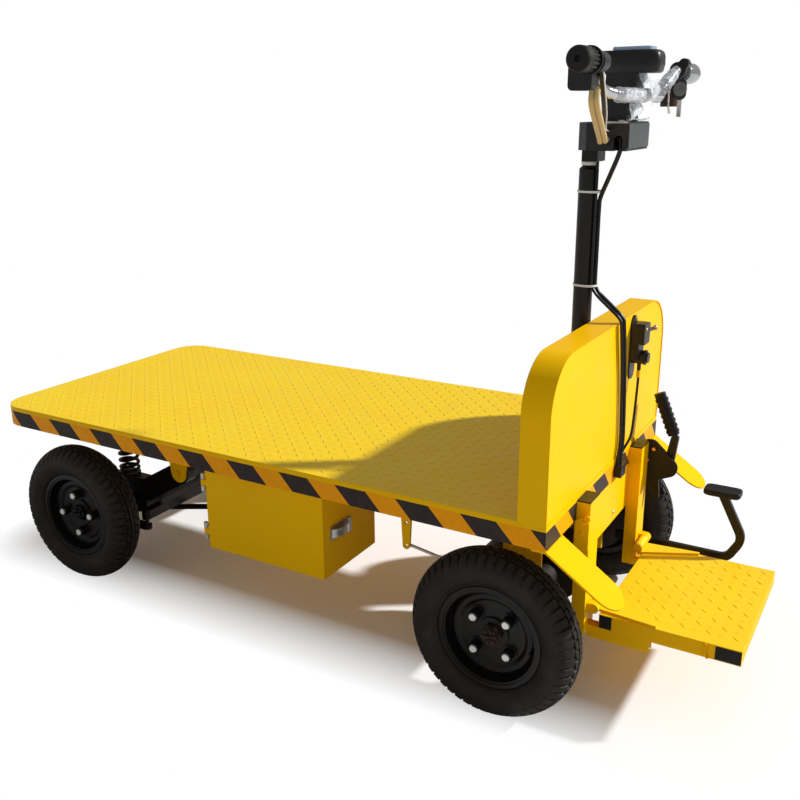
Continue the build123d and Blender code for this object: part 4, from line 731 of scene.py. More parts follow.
class CART_OT_tyres(bpy.types.Operator):
    """Tyres with a zigzag block tread and ribbed walls"""
    bl_idname = "cart.tyres"
    bl_label = "Tyres"

    # Places across the tread, from its middle, in millimetres: groove floors are the inner pairs
    rows = (0.0, 4.6, 5.4, 8.0, 8.8, 13.2, 17.6, 18.4, 21.0, 21.8, 28.5, 36.0)
    grooves = (2, 3, 7, 8)
    rib_rows = (4, 5, 6)
    shoulder_rows = (9, 10, 11)
    # Places in one pitch: the cross cut of the rib and, half a pitch on, of the shoulder
    columns = (0.0, 0.09, 0.21, 0.30, 0.5, 0.58, 0.72, 0.80)
    rib_cut = (1, 2)
    shoulder_cut = (5, 6)
    # Wall below the shoulder: radius and half width in millimetres, then how deep the lug cuts still are
    wall = (
        (174.0, 39.2, 0.8), (168.0, 42.6, 0.5), (163.0, 44.3, 0.0), (162.0, 43.7, 0.0), (158.0, 44.9, 0.0),
        (150.0, 45.6, 0.0), (141.0, 44.9, 0.0), (132.0, 41.4, 0.0), (126.0, 38.0, 0.0), (124.6, 39.2, 0.0),
        (121.0, 37.4, 0.0), (118.5, 33.0, 0.0), (116.6, 27.9, 0.0), (106.4, 27.9, 0.0),
    )

    def execute(self, context):
        for name, centre in WHEELS.items():
            node = name.replace("wheel", "tyre")
            skin = self.skin(context.scene.cart_tread, centre)
            piece("tread_" + node, [skin], "tyre rubber", name, (node,))
        return {"FINISHED"}

    def skin(self, tread, centre):
        """Tyre skin over angle and place across: a round crown whose radius drops by the groove depth in
        the zigzag grooves and cross cuts, then walls down to the beads, closed on itself both ways."""
        crown, shoulder, half = 190.0, 178.0, 34.0
        bend = (half ** 2 + (crown - shoulder) ** 2) / (2 * (crown - shoulder))
        place = np.array(self.rows)
        row_depth = np.zeros(len(place))
        row_depth[list(self.grooves)] = 1.0
        turn = np.arange(tread.pitches * len(self.columns))
        step = turn % len(self.columns)
        share = (turn // len(self.columns) + np.array(self.columns)[step]) / tread.pitches
        angle = 2 * math.pi * share
        wave = np.abs(((share * tread.pitches + 0.1) % 1.0) * 4 - 2) - 1
        sides = []
        for side, lag in ((1.0, 0.0), (-1.0, 1.0)):
            swing = np.interp(place, (0.0, 5.0, 19.0, 24.0, 36.0), (0.0, 1.0, -1.0, 0.0, 0.0))
            moved = place + (tread.zigzag / MM) * swing * wave[:, None] * (1 - 2 * lag)
            cut = np.zeros((len(turn), len(place)))
            cut[np.ix_(np.isin(step, self.rib_cut), self.rib_rows)] = 0.8
            cut[np.ix_(np.isin(step, self.shoulder_cut), self.shoulder_rows)] = 1.0
            depth = np.maximum(cut, row_depth) * (tread.depth / MM)
            bow = moved / bend
            radius = crown - bend * (1 - np.cos(bow)) - depth * np.cos(bow)
            across = bend * np.sin(bow) - depth * np.sin(bow)
            wall = np.array(self.wall)
            lug = np.isin(step, self.shoulder_cut)[:, None] * wall[:, 2] * (tread.depth / MM)
            radius = np.concatenate([radius, wall[:, 0] - 0.3 * lug], 1)
            across = np.concatenate([across, wall[:, 1] - 0.8 * lug], 1)
            sides.append((radius, side * across))
        radius = np.concatenate([sides[0][0][:, ::-1], sides[1][0][:, 1:]], 1)
        across = np.concatenate([sides[0][1][:, ::-1], sides[1][1][:, 1:]], 1)
        around = np.stack([radius * np.cos(angle)[:, None], across, radius * np.sin(angle)[:, None]], -1)
        return shell(centre + around * MM, True, True)


class CART_OT_chequer(bpy.types.Operator):
    """Raised lozenges of the chequer plate on the deck and the step"""
    bl_idname = "cart.chequer"
    bl_label = "Chequer plate"

    edge = 12 * MM
    lozenge_room = 9 * MM
    sunk = 0.3 * MM
    column_gap = 60 * MM
    step_front = 56 * MM
    # Plate left clear beside the hinge straps: reach behind the deck, and half width there
    strap_reach = (195 * MM, 190 * MM, 56 * MM)
    strap_side = (200 * MM, 180 * MM, 108 * MM)

    def execute(self, context):
        deck = context.scene.cart_deck
        places = self.places(deck, DECK_LOW, DECK_HIGH)
        beyond = np.maximum(np.abs(places) - np.abs(DECK_HIGH[:2] - CORNER), 0.0) * (places[:, :1] > 0)
        near_column = np.hypot(places[:, 0] - COLUMN[0], places[:, 1]) < self.column_gap
        places = places[(np.hypot(*beyond.T) < CORNER - self.edge) & ~near_column]
        piece("deck_lozenges", self.lozenges(deck, places, DECK_HIGH[2]), "deck enamel", "chassis")
        places = self.places(deck, STEP_LOW, np.array([REAR - self.step_front, STEP_HIGH[1]]))
        strap = np.interp(places[:, 0], REAR - np.array(self.strap_reach), self.strap_side)
        places = places[np.abs(places[:, 1]) < strap]
        piece("step_lozenges", self.lozenges(deck, places, STEP_TREAD[2]), "deck enamel", "step")
        return {"FINISHED"}

    def places(self, deck, low, high):
        """Middles of the lozenges on a square lattice inside a rectangle."""
        margin = self.edge + self.lozenge_room
        lines = [np.arange(a + margin, b - margin, deck.lozenge_pitch) for a, b in zip(low[:2], high[:2])]
        return np.stack(np.meshgrid(*lines, indexing="ij"), -1).reshape(-1, 2)

    def lozenges(self, deck, places, height):
        """Each lozenge: a low dome across, tapering to a point along a diagonal that alternates."""
        along = np.linspace(-1.0, 1.0, 7)
        dome = np.array([[-1.0, 0.0], [-0.62, 0.8], [0.0, 1.0], [0.62, 0.8], [1.0, 0.0]])
        taper = 1 - along ** 2
        x = np.broadcast_to(along[:, None] * deck.lozenge_length / 2, (7, 5))
        y = taper[:, None] * dome[:, 0] * deck.lozenge_width / 2
        z = np.sqrt(taper)[:, None] * dome[:, 1] * (deck.lozenge_height + self.sunk) - self.sunk
        order = np.rint((places - places.min(0)) / deck.lozenge_pitch).astype(int).sum(1) % 2
        lean = np.where(order, 1.0, -1.0) * math.pi / 4
        cos, sin = np.cos(lean)[:, None, None], np.sin(lean)[:, None, None]
        spread = np.stack([
            places[:, 0, None, None] + cos * x - sin * y,
            places[:, 1, None, None] + sin * x + cos * y,
            np.broadcast_to(height + z, (len(places), 7, 5))], -1)
        return [shell(one, wrap_v=True) for one in spread]


class CART_OT_hazard_tape(bpy.types.Operator):
    """Striped tape round the edge of the deck"""
    bl_idname = "cart.hazard_tape"
    bl_label = "Hazard tape"

    thickness = 0.35 * MM
    sunk = 0.2 * MM
    black_start = 67.5 * MM
    slant = 0.93
    rear_lead = 0.93

    def execute(self, context):
        deck = context.scene.cart_deck
        low = RAIL_LOW[2]
        arc = np.linspace(0.0, math.pi / 2, 13)[:, None]
        left = np.array([[REAR, HALF_WIDTH]])
        turn = np.array([FRONT - CORNER, HALF_WIDTH - CORNER])
        bend = turn + CORNER * np.concatenate([np.sin(arc), np.cos(arc)], 1)
        path = np.concatenate([left, bend, bend[::-1] * (1, -1), left * (1, -1)])
        piece("edge_tape", [self.band(deck, path, low, 0.0)], "hazard tape", "chassis")
        rear = np.array([[REAR, -HALF_WIDTH], [REAR, HALF_WIDTH]])
        piece("rear_tape", [self.band(deck, rear, low, self.rear_lead)], "hazard tape", "chassis")
        return {"FINISHED"}

    def band(self, deck, path, low, lead):
        """A thin flat section carried along a path seen from above; u counts bands, sheared up the tape."""
        step = np.diff(path, axis=0)
        length = np.concatenate([[0.0], np.cumsum(np.hypot(*step.T))])
        tangent = unit(np.gradient(path, length, axis=0))
        outward = np.stack([-tangent[:, 1], tangent[:, 0]], 1)
        lift = np.array([0.0, 0.0, 1.0, 1.0]) * deck.tape_width
        off = np.array([-self.sunk, self.thickness, self.thickness, -self.sunk])
        flat = path[:, None] + outward[:, None] * off[None, :, None]
        points = np.concatenate([flat, np.broadcast_to(low + lift, flat.shape[:2])[..., None]], -1)
        bands = (length[:, None] - self.black_start - lift * self.slant) / deck.stripe_period + lead
        uv = np.stack([bands, np.broadcast_to(lift / deck.tape_width, bands.shape)], -1)
        return shell(points, wrap_v=True, uv=uv)


class CART_OT_wheel_fittings(bpy.types.Operator):
    """Long wheel nuts with bright stud tips, castle nuts with split pins and tyre valves"""
    bl_idname = "cart.wheel_fittings"
    bl_label = "Wheel fittings"

    stud_circle = 53 * MM
    stud_turn = {"rear": 46.8, "front": 94.0}
    hub_finish = {"rear": "brown steel", "front": "black enamel"}
    pad_face = 7 * MM
    hub_face = 9 * MM
    # Radius and height of the long nuts, of the stud tips and of the hexagon on the hub
    sleeve = (12.5 * MM, 18 * MM)
    tip = (8.5 * MM, 5 * MM)
    hexagon = (23.5 * MM, 12 * MM)
    # Crown on the hexagon: heights of teeth and slots, then rows of height, radius and whether teeth rise
    crown_slots = 6
    crown_heights = (20.5 * MM, 15 * MM)
    crown_rows = ((8, 0, 0), (8, 17.5, 0), (8, 17.5, 1), (8, 10, 1), (10, 0, 0))
    # Split pin: height, half length and radius
    pin = (18 * MM, 21 * MM, 2 * MM)
    # Valve: distances of its ends from the axle, reach outwards, angle past the second stud and radii
    valve_ends = (96 * MM, 90 * MM)
    valve_reach = 25 * MM
    valve_lean = 0.6
    valve_radii = (6.0, 5.5, 4.0, 4.0, 3.2)

    def execute(self, context):
        for name, centre in WHEELS.items():
            side = np.sign(centre[1])
            place = name.split("_")[1]
            out = np.array([0.0, side, 0.0])
            turn = np.radians(self.stud_turn[place] + 90.0 * np.arange(4))
            ring = np.stack([np.cos(turn), 0 * turn, -side * np.sin(turn)], 1)
            studs = centre + self.pad_face * out + self.stud_circle * ring
            nuts = [head(stud, out, *self.sleeve, 20) for stud in studs]
            piece("nuts_" + name, nuts, "black enamel", name)
            tips = [head(stud + self.sleeve[1] * out, out, *self.tip, 16) for stud in studs]
            piece("stud_tips_" + name, tips, "bright tip", name)
            castle = self.hub_nut(centre + self.hub_face * out, out)
            piece("hub_nut_" + name, castle, self.hub_finish[place], name)
            piece("valve_" + name, [self.valve(centre, ring, out)], "grip rubber", name)
        return {"FINISHED"}

    def hub_nut(self, place, out):
        """Hexagon under a crown whose height drops in slots round the axis, and a split pin across it."""
        count = self.crown_slots * 4
        angle = (np.arange(count) + 0.5) * (2 * math.pi / count)
        across, over = axes_for(out)
        ring = np.cos(angle)[:, None] * across + np.sin(angle)[:, None] * over
        rise = np.where(np.arange(count) % 4 < 2, *self.crown_heights)
        crown = [place + np.where(teeth, rise, low * MM)[:, None] * out + radius * MM * ring
                 for low, radius, teeth in self.crown_rows]
        level, half, radius = self.pin
        pin = place + level * out + np.linspace(-half, half, 3)[:, None] * across
        return [head(place, out, *self.hexagon), shell(crown, wrap_v=True), tube(pin, radius, (0, 0, 1))]

    def valve(self, centre, ring, out):
        """Round stem, thinner outwards, leaning out of the rim between two studs."""
        lean = ring[1] * math.cos(self.valve_lean) + ring[2] * math.sin(self.valve_lean)
        root, tip = (centre + end * lean for end in self.valve_ends)
        stem = np.linspace(root, tip + self.valve_reach * out, len(self.valve_radii))
        return tube(stem, millimetres(self.valve_radii), (0.3, 0.1, 0.9))


class CART_OT_springs(bpy.types.Operator):
    """Open coil springs between their seats"""
    bl_idname = "cart.springs"
    bl_label = "Springs"

    wire = 5 * MM
    turns = 9
    seat = 5 * MM

    def execute(self, context):
        low, high = corners("front_springs")
        radius = (high[0] - low[0]) / 2
        parts = []
        for name, side in SIDES:
            foot = np.array([(low[0] + high[0]) / 2, side * (high[1] - radius), low[2]])
            parts.append(self.coil(foot, radius - self.wire, high[2] - low[2]))
            for level in (low[2], high[2] - self.seat):
                parts.append(lathe(drum(radius, self.seat), (*foot[:2], level), (0, 0, 1)))
        piece("coil_springs", parts, "black enamel", "chassis", ("front_springs",))
        return {"FINISHED"}

    def coil(self, foot, radius, height):
        """Wire along a helix whose first and last turns lie close on the seats."""
        turn = np.linspace(0.0, self.turns, 20 * self.turns + 1)
        inside = self.seat + self.wire
        rise = np.interp(turn, (0.0, 1.0, self.turns - 1.0, self.turns),
                         (inside, inside + 2 * self.wire, height - inside - 2 * self.wire, height - inside))
        angle = 2 * math.pi * turn
        path = foot + np.stack([radius * np.cos(angle), radius * np.sin(angle), rise], 1)
        return tube(path, self.wire, (0, 0, 1), 8)


class CART_OT_cables(bpy.types.Operator):
    """Cables down the column and headboard, horn wires, ties and gland"""
    bl_idname = "cart.cables"
    bl_label = "Cables"

    # Routes, in millimetres ahead of the deck's rear edge, left of the middle and above ground
    loom = (
        (4, 55, 1184), (5, 54, 1156), (30, 29, 1108), (55, 4, 1062), (59, 0, 1036), (59, 0, 950),
        (59, 0, 873))
    thin = ((63.5, 11.5, 1134), (63.5, 11.5, 1000), (63.5, 11.5, 873))
    horn_wires = (
        (-19, 281, 1272), (-18, 277, 1248), (-6, 212, 1214), (15, 124, 1186), (24, 92, 1178), (27, 66, 1182))
    fine_wire = (
        (-9, 300, 1338), (-19, 284, 1322), (-12, 236, 1276), (5, 166, 1232), (25, 104, 1202), (29, 70, 1196))
    main = (
        (59, 0, 873), (46, -1, 854), (18, -3, 829), (-5, -5, 806), (-9, -11, 780), (-8, -43, 653),
        (-8, -61, 520), (-8, -53, 478), (-8, -53, 448))
    slim = (
        (63.5, 11.5, 873), (48, 10.5, 852), (20, 9, 827), (-4, 7, 804), (-7.5, 2, 778), (-6.5, -29, 653),
        (-6.5, -47, 520), (-6.5, -40, 478), (-6.5, -40, 448))
    lead = (
        (-18, -118, 664), (-18, -118, 634), (-24, -86, 571), (-18, -90, 511), (-9, -72, 482), (-7, -63, 468),
        (-7, -63, 448))
    bend_end = 4
    # Radii of the main cables, slim cables, switch lead, horn wires and fine wire
    main_radius = 5 * MM
    slim_radius = 3.5 * MM
    lead_radius = 3 * MM
    wire_radius = 5.2 * MM
    fine_radius = 4.2 * MM
    wire_pitch = (10.0, 0.8, -1.6)
    # White edge of the fine wire: its distance and radius
    fine_edge = (5.2 * MM, 1.5 * MM)
    gland = ((-18, -68, 424), (0, -32, 452))
    # Ferrule of the lead: place, then radius and length
    ferrule = (-18, -118, 646)
    ferrule_size = (4.6 * MM, 16 * MM)
    # Collar on the column's neck: lower and upper height, inner and outer radius
    collar = (1126 * MM, 1133 * MM, 13.8 * MM, 16.6 * MM)
    # Ties: heights, radius round the column, swell over the cables, the cables' side, and section
    tie_heights = (873, 1072)
    tie_radius = 21.4
    tie_swell = 11.0
    tie_side = math.radians(168)
    tie_section = ((-0.8, -2.2), (1.0, -2.2), (1.0, 2.2), (-0.8, 2.2))

    def execute(self, context):
        turning = [tube(smooth(behind(self.loom)), self.main_radius),
                   tube(behind(self.thin), self.slim_radius)]
        piece("column_cables", turning, "cable sheath", "steering", ("steering_cables",))
        routes = [behind(self.horn_wires) + pair * millimetres(self.wire_pitch) for pair in (0, 1)]
        wires = [tube(smooth(route), self.wire_radius, (1, 0, 0), 12) for route in routes]
        piece("horn_wires", wires, "cream sheath", "steering")
        fine = smooth(behind(self.fine_wire))
        piece("fine_wire", [tube(fine, self.fine_radius, (1, 0, 0), 8)], "cable sheath", "steering")
        beside, radius = self.fine_edge
        piece("fine_wire_edge", [tube(fine - (beside, 0, 0), radius, (1, 0, 0), 8)], "nylon", "steering")
        over = [tube(smooth(behind(self.main), 12), self.main_radius),
                tube(smooth(behind(self.slim), 12), self.slim_radius)]
        span = (behind(self.main[0]), behind(self.main[self.bend_end]))
        piece("headboard_cables_over", over, "cable sheath", ("steering", "chassis"), ("headboard_cables",),
              span=span)
        still = [tube(smooth(behind(self.lead), 10), self.lead_radius), slab(*behind(self.gland))]
        piece("switch_lead", still, "cable sheath", "chassis")
        ferrule = lathe(drum(*self.ferrule_size), behind(self.ferrule), (0, 0, 1), 16)
        piece("lead_ferrule", [ferrule], "yellow enamel", "chassis")
        piece("cable_ties", [self.tie(height * MM) for height in self.tie_heights], "nylon", "steering")
        collar = lathe(hoop(*self.collar), (*COLUMN[:2], 0.0), (0, 0, 1))
        piece("neck_collar", [collar], "nylon", "steering")
        return {"FINISHED"}

    def tie(self, height):
        """Flat band round column and cables: its radius swells smoothly on the cables' side."""
        angle = np.linspace(0.0, 2 * math.pi, 56, endpoint=False)
        swell = np.maximum(np.cos(angle - self.tie_side), 0.0) ** 2
        radius = (self.tie_radius + self.tie_swell * swell) * MM
        section = millimetres(self.tie_section)
        out = radius[:, None] + section[:, 0]
        points = [COLUMN[0] + out * np.cos(angle)[:, None], COLUMN[1] + out * np.sin(angle)[:, None],
                  np.broadcast_to(height + section[:, 1], out.shape)]
        return shell(np.stack(points, -1), True, True)


class CART_OT_fittings(bpy.types.Operator):
    """Bolts, rivets and screws, step patches and catch, switch and key trim, grip ribs"""
    bl_idname = "cart.fittings"
    bl_label = "Fittings"

    # Heads on upright faces: place ahead of the deck's rear edge, height and radius; then the heads' height
    ear_rivets = ((-19, 414, 5.0), (-15, 388, 5.0), (-26, 426, 7.0))
    rivet_height = 4 * MM
    quadrant_bolts = ((-44, 442, 5.5), (-22, 424, 6.5), (-30, 412, 5.5), (-16, 410, 5.0))
    bolt_height = 6 * MM
    # Screw in the rear panel: place across and height, then radius and height of its head
    panel_screw = (-47 * MM, 330 * MM)
    screw_size = (4.5 * MM, 3 * MM)
    # Patches on the step's sides: front and back ends, heights, and faces under and over the side
    patches = ((-57, -84), (-300, -351.5))
    patch_heights = (166 * MM, 196 * MM)
    patch_faces = (-0.3 * MM, 0.6 * MM)
    catch = ((-281, 196, 197), (-281, 197.5, 182), (-282, 197.5, 170), (-287, 197.5, 165))
    catch_radius = 2.4 * MM
    # Switch: ball and stem of its lever, ring round its knob, block behind it, then each screw's place,
    # radius, height and sides
    ball_radius = 6.6 * MM
    ball_place = (-31 * MM, 6 * MM, 750 * MM)
    stem_run = (14 * MM, 40 * MM, 0.0)
    stem_radius = 4.4 * MM
    knob_place = (9.5 * MM, -118 * MM, 694 * MM)
    knob_ring = (0.0, 4 * MM, 13.5 * MM, 17.6 * MM)
    switch_block = ((-20, -139, 690), (0, -97, 730))
    switch_screws = (((-32, -106, 762), 3.5, 2.0, 12), ((-2, -118, 784), 4.0, 3.0, 6))
    # Left grip: middle line, ribs with crest and valley, rows along them, cap at the end and ring before
    grip_line = (-19, 0, 1319)
    grip_ribs = 18
    rib_radii = (21.0, 18.6)
    rib_rows = ((336, 0.86), (337, 1.0), (362, 1.0), (363, 0.86))
    cap_start = 363 * MM
    cap = ((0, 0), (0, 20), (2, 21.5), (24, 21.5), (27, 19), (27, 5.5), (21, 5), (21, 0))
    ring_start = 327 * MM
    ring_size = (23.5 * MM, 5 * MM)
    # Fob, key blade and lock below the right grip
    fob_place = (-29, -249, 1278)
    fob = ((0, 0), (0, 15), (1.5, 15), (2, 6.5), (4, 5.5), (4, 2), (2, 1.6), (2, 0))
    key_blade = ((-33.5, -253.4, 1219), (-24.5, -249.6, 1256))
    lock_place = (-1, -272, 1241)
    lock = ((0, 0), (0, 18), (2, 19.6), (44, 19.6), (46, 18), (46, 0))
    # Treadle: half length and width, power of its outline, underside, and rows of height and scale
    treadle_half = (43 * MM, 24 * MM)
    treadle_power = 0.35
    treadle_under = 352
    treadle_rows = ((0.0, 0.0), (0.0, 0.93), (3.0, 1.0), (11.0, 1.0), (14.0, 0.95), (14.0, 0.0))

    def execute(self, context):
        side = corners("rear_posts")[1][1]
        rivets = self.heads(self.ear_rivets, side, self.rivet_height, 16)
        piece("ear_rivets", rivets, "yellow enamel", "chassis")
        face = corners("rear_panel")[0][0]
        screw = head((face, *self.panel_screw), (-1, 0, 0), *self.screw_size, 16)
        piece("panel_screw", [screw], "zinc", "chassis")
        near = corners("handbrake_quadrant")[1][1]
        bolts = self.heads(self.quadrant_bolts, near, self.bolt_height, 6)
        piece("quadrant_bolts", bolts, "copper", "chassis")
        self.step_trim()
        self.switch_trim()
        self.grip_trim()
        self.key_trim()
        self.pedal()
        return {"FINISHED"}

    def heads(self, places, face, height, sides):
        """Heads on a face that looks to the left."""
        return [head((REAR + x * MM, face, z * MM), (0, 1, 0), radius * MM, height, sides)
                for x, z, radius in places]

    def pedal(self):
        """Treadle: a rounded rectangle carried upwards through a soft-edged profile, level on its arm."""
        low, high = corners("pedal_pad")
        outline = squarish(48, self.treadle_half, self.treadle_power)
        rows = [((self.treadle_under + rise) * MM, scale) for rise, scale in self.treadle_rows]
        treadle = shell(layers(outline, (low[:2] + high[:2]) / 2, rows), wrap_v=True)
        piece("treadle", [treadle], "grip rubber", "chassis", ("pedal_pad",))

    def step_trim(self):
        """Black patches on the step's sides and a small catch on the left one."""
        low, high = self.patch_heights
        shells = []
        for name, side in SIDES:
            edges = sorted(side * (STEP_HIGH[1] + face) for face in self.patch_faces)
            for front, back in self.patches:
                shells.append(slab((REAR + back * MM, edges[0], low), (REAR + front * MM, edges[1], high)))
        piece("step_patches", shells, "grip rubber", "step")
        catch = tube(smooth(behind(self.catch)), self.catch_radius, (1, 0, 0), 8)
        piece("step_catch", [catch], "yellow enamel", "step")

    def switch_trim(self):
        """Coppery ball and screws on the switch, and a rim on its knob."""
        low, high = corners("switch_unit")
        turn = np.linspace(0.0, math.pi, 9)
        ball = self.ball_radius * np.stack([-np.cos(turn), np.sin(turn)], 1)
        tip = np.array([REAR, low[1], 0.0]) + self.ball_place
        stem = tube(np.linspace(tip + self.stem_run, tip, 3), self.stem_radius, (0, 0, 1))
        piece("switch_lever", [lathe(ball, tip, (0, 1, 0), 16), stem], "copper", "chassis")
        knob = lathe(hoop(*self.knob_ring), np.array([low[0], 0.0, 0.0]) + self.knob_place, (-1, 0, 0))
        piece("switch_joint", [knob, slab(*behind(self.switch_block))], "black plastic", "chassis")
        screws = [head(behind(place), (-1, 0, 0), radius * MM, height * MM, sides)
                  for place, radius, height, sides in self.switch_screws]
        piece("switch_screws", screws, "copper", "chassis")

    def grip_trim(self):
        """Left grip: ribs whose radius steps up and down round the bar, a hollow cap and a ring."""
        count = self.grip_ribs * 4
        angle = np.arange(count) * (2 * math.pi / count)
        rib = np.where(np.arange(count) % 4 < 2, *self.rib_radii) * MM
        line = behind(self.grip_line)
        round_bar = np.stack([rib * np.cos(angle), 0 * angle, rib * np.sin(angle)], 1)
        grid = [line + (0, y * MM, 0) + scale * round_bar for y, scale in self.rib_rows]
        ends = [lathe(millimetres(self.cap), line + (0, self.cap_start, 0), (0, 1, 0), 40),
                lathe(drum(*self.ring_size), line + (0, self.ring_start, 0), (0, 1, 0), 40)]
        piece("grip_ribs", [shell(grid, wrap_v=True), *ends], "grip rubber", "steering", sharp=20.0)

    def key_trim(self):
        """Fob, key blade and lock."""
        fob = lathe(millimetres(self.fob), behind(self.fob_place), (0, 1, 0), 28)
        piece("fob_shield", [fob], "fob plastic", "steering")
        piece("key_blade", [slab(*behind(self.key_blade))], "zinc", "steering")
        lock = lathe(millimetres(self.lock), behind(self.lock_place), (0, 0, 1))
        piece("lock_sleeve", [lock], "brown steel", "steering")


class CART_OT_wraps(bpy.types.Operator):
    """Bright handlebar and its pod, with the clear film left on bar and right grip, and scraps of it"""
    bl_idname = "cart.wraps"
    bl_label = "Film wraps"

    # Bar: radius, and its run from the left grip to the right one
    bar_radius = 11 * MM
    left_run = (
        (-20, 374, 1318), (0, 272, 1318), (8, 240, 1310), (4, 190, 1276), (-12, 160, 1265), (-20, 120, 1264))
    right_run = (
        (-20, -104, 1264), (-8, -138, 1263), (-4, -168, 1271), (-10, -203, 1291), (-16, -240, 1312),
        (-18, -266, 1318), (-20, -374, 1318))
    clamp = ((-28, -20, 1254), (12, 20, 1276))
    box_edge = ((-14, 70.5, 1211), (46, 72.8, 1215))
    # Pod: half sizes and power of its outline, its middle, rows of level and scale, and the neck under it
    pod_half = (69, 32)
    pod_power = 0.4
    pod_middle = (14, 0)
    pod_rows = (
        (1306, 0.0), (1306, 0.90), (1309, 0.96), (1322, 1.0), (1338, 0.99), (1345, 0.95), (1349, 0.86),
        (1350, 0.0))
    neck = ((-12, -28, 1264), (51, 28, 1308))
    # Film wound on the bar: the bar's place and height there, the winding's ends, radius, rings and wobble
    wound_line = (-20, 1264)
    wound = (-26, 166)
    wound_radius = 12.2
    ring_rise = 2.6
    rings = 4.5
    wobble = 0.6
    # Film on the right rise: its route, radius, and two waves of size and pace that crease it
    rise = ((-8, -138, 1263), (-4, -168, 1271), (-10, -203, 1291), (-15, -234, 1309))
    rise_radius = 14.0
    creases = ((1.6, 2.4), (0.9, 1.1))
    # Film over the right grip: start, and rows of distance along the grip and radius
    grip_start = (-22, -288, 1313)
    grip_rows = ((0, 0), (0, 18.5), (8, 20.5), (40, 23), (72, 22.5), (90, 19), (100, 11), (101, 0))
    # Each scrap: a corner and the ends of its two edges; then the film's thickness, taper and crumple
    scraps = (
        ((-30, -150, 1300), (-34, -158, 1228), (-8, -214, 1296)),
        ((-39, 26, 1290), (-38, -40, 1296), (-40, 10, 1244)),
        ((-6, 42, 1250), (-6, -44, 1252), (-8, 40, 1214)),
        ((-17, 72, 1216), (-17, -70, 1218), (10, 60, 1218)),
        ((-18, 30, 1306), (-18, -28, 1308), (-22, 20, 1276)),
    )
    leaf = 0.4 * MM
    taper = 0.45
    crumple = 3 * MM

    def execute(self, context):
        bar = tube(smooth(behind(self.left_run + self.right_run)), self.bar_radius, (0.2, 0.0, 1.0), 20)
        piece("bright_bar", [bar], "chrome", "steering", ("handlebar",))
        piece("bar_clamp", [slab(*behind(self.clamp))], "black plastic", "steering")
        piece("box_edge", [slab(*behind(self.box_edge))], "zinc", "steering")
        outline = squarish(64, self.pod_half, self.pod_power)
        pod = shell(behind(layers(outline, self.pod_middle, self.pod_rows)), wrap_v=True)
        housing = [pod, slab(*behind(self.neck))]
        piece("pod_shell", housing, "black plastic", "steering", ("display_pod",), 50.0)
        piece("bar_film", [self.winding()], "film", "steering")
        piece("rise_film", [self.sleeve()], "film", "steering")
        grip = lathe(millimetres(self.grip_rows), behind(self.grip_start), (0, -1, 0), 20)
        piece("grip_film", [grip], "silver film", "steering")
        leaves = piece("film_scraps", [self.scrap(*scrap) for scrap in self.scraps], "film", "steering")
        leaves.modifiers.new("leaf", "SOLIDIFY").thickness = self.leaf
        return {"FINISHED"}

    def winding(self):
        """Sleeve round the bar whose radius rises and falls in rings along it, uneven round the bar."""
        place = np.linspace(*self.wound, 49)[:, None] * MM
        angle = np.linspace(0.0, 2 * math.pi, 24, endpoint=False)[None]
        share = (place - place[0]) / (place[-1] - place[0])
        ring = np.abs(np.sin(self.rings * math.pi * share + 0.35 * np.sin(angle)))
        radius = (self.wound_radius + self.ring_rise * ring + self.wobble * np.sin(3 * angle)) * MM
        radius[[0, -1]] = 0.0
        ahead, height = self.wound_line
        x = REAR + ahead * MM + radius * np.cos(angle)
        z = height * MM + radius * np.sin(angle)
        return shell(np.stack([x, np.broadcast_to(place, x.shape), z], -1), wrap_v=True)

    def sleeve(self):
        """Loose sleeve along the right rise, its radius creased by two waves."""
        path = smooth(behind(self.rise), 6)
        along = np.arange(len(path))
        radius = self.rise_radius + sum(size * np.sin(pace * along) for size, pace in self.creases)
        return tube(path, radius * MM, (0.4, 0.0, 1.0), 14)

    def scrap(self, corner, first, second):
        """A crumpled leaf over two parameters: flat between its edges, with a small wave added."""
        corner, first, second = (behind(point) for point in (corner, first, second))
        u, v = np.meshgrid(np.linspace(0, 1, 9), np.linspace(0, 1, 9), indexing="ij")
        wave = self.crumple * np.sin(7 * u + 2 * v) * np.sin(5 * v + 1)
        lean = unit(np.cross(first - corner, second - corner))
        spread = (1 - self.taper * u)[..., None]
        points = corner + u[..., None] * (first - corner) + v[..., None] * spread * (second - corner)
        return shell(points + wave[..., None] * lean)


class CART_PT_looks(bpy.types.Panel):
    """Sidebar list of the cart's pieces and settings"""
    bl_idname = "CART_PT_looks"
    bl_label = "Cart looks"
    bl_space_type = "VIEW_3D"
    bl_region_type = "UI"
    bl_category = "Cart"

    def draw(self, context):
        for group, kind in SETTINGS:
            box = self.layout.box()
            for key in kind.__annotations__:
                box.prop(getattr(context.scene, group), key)
        for operator in OPERATORS:
            self.layout.operator(operator.bl_idname)


OPERATORS = (
    CART_OT_stage, CART_OT_finishes, CART_OT_tyres, CART_OT_chequer, CART_OT_hazard_tape,
    CART_OT_wheel_fittings, CART_OT_springs, CART_OT_cables, CART_OT_fittings, CART_OT_wraps)


def register():
    """Register the settings, the operators and the panel."""
    for group, kind in SETTINGS:
        bpy.utils.register_class(kind)
        setattr(bpy.types.Scene, group, bpy.props.PointerProperty(type=kind))
    for kind in (*OPERATORS, CART_PT_looks):
        bpy.utils.register_class(kind)


def unregister():
    """Undo what register did."""
    for kind in (CART_PT_looks, *reversed(OPERATORS)):
        bpy.utils.unregister_class(kind)
    for group, kind in reversed(SETTINGS):
        delattr(bpy.types.Scene, group)
        bpy.utils.unregister_class(kind)


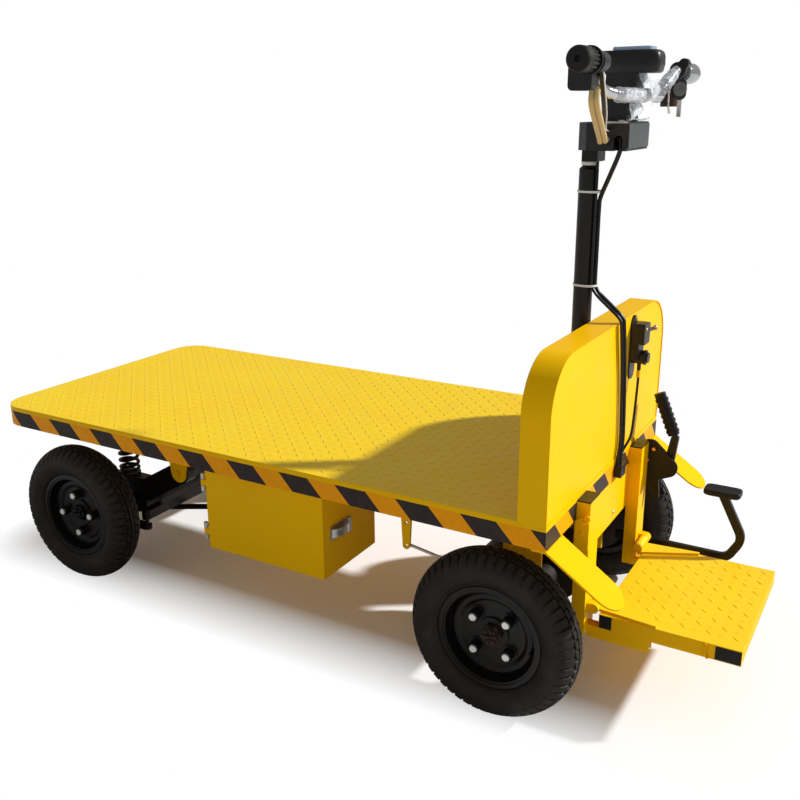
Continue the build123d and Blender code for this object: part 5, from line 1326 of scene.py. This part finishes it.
def main():
    """Dress the part: run every operator in order."""
    register()
    for operator in OPERATORS:
        group, call = operator.bl_idname.split(".")
        getattr(getattr(bpy.ops, group), call)()
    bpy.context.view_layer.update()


if __name__ == "__main__":
    main()
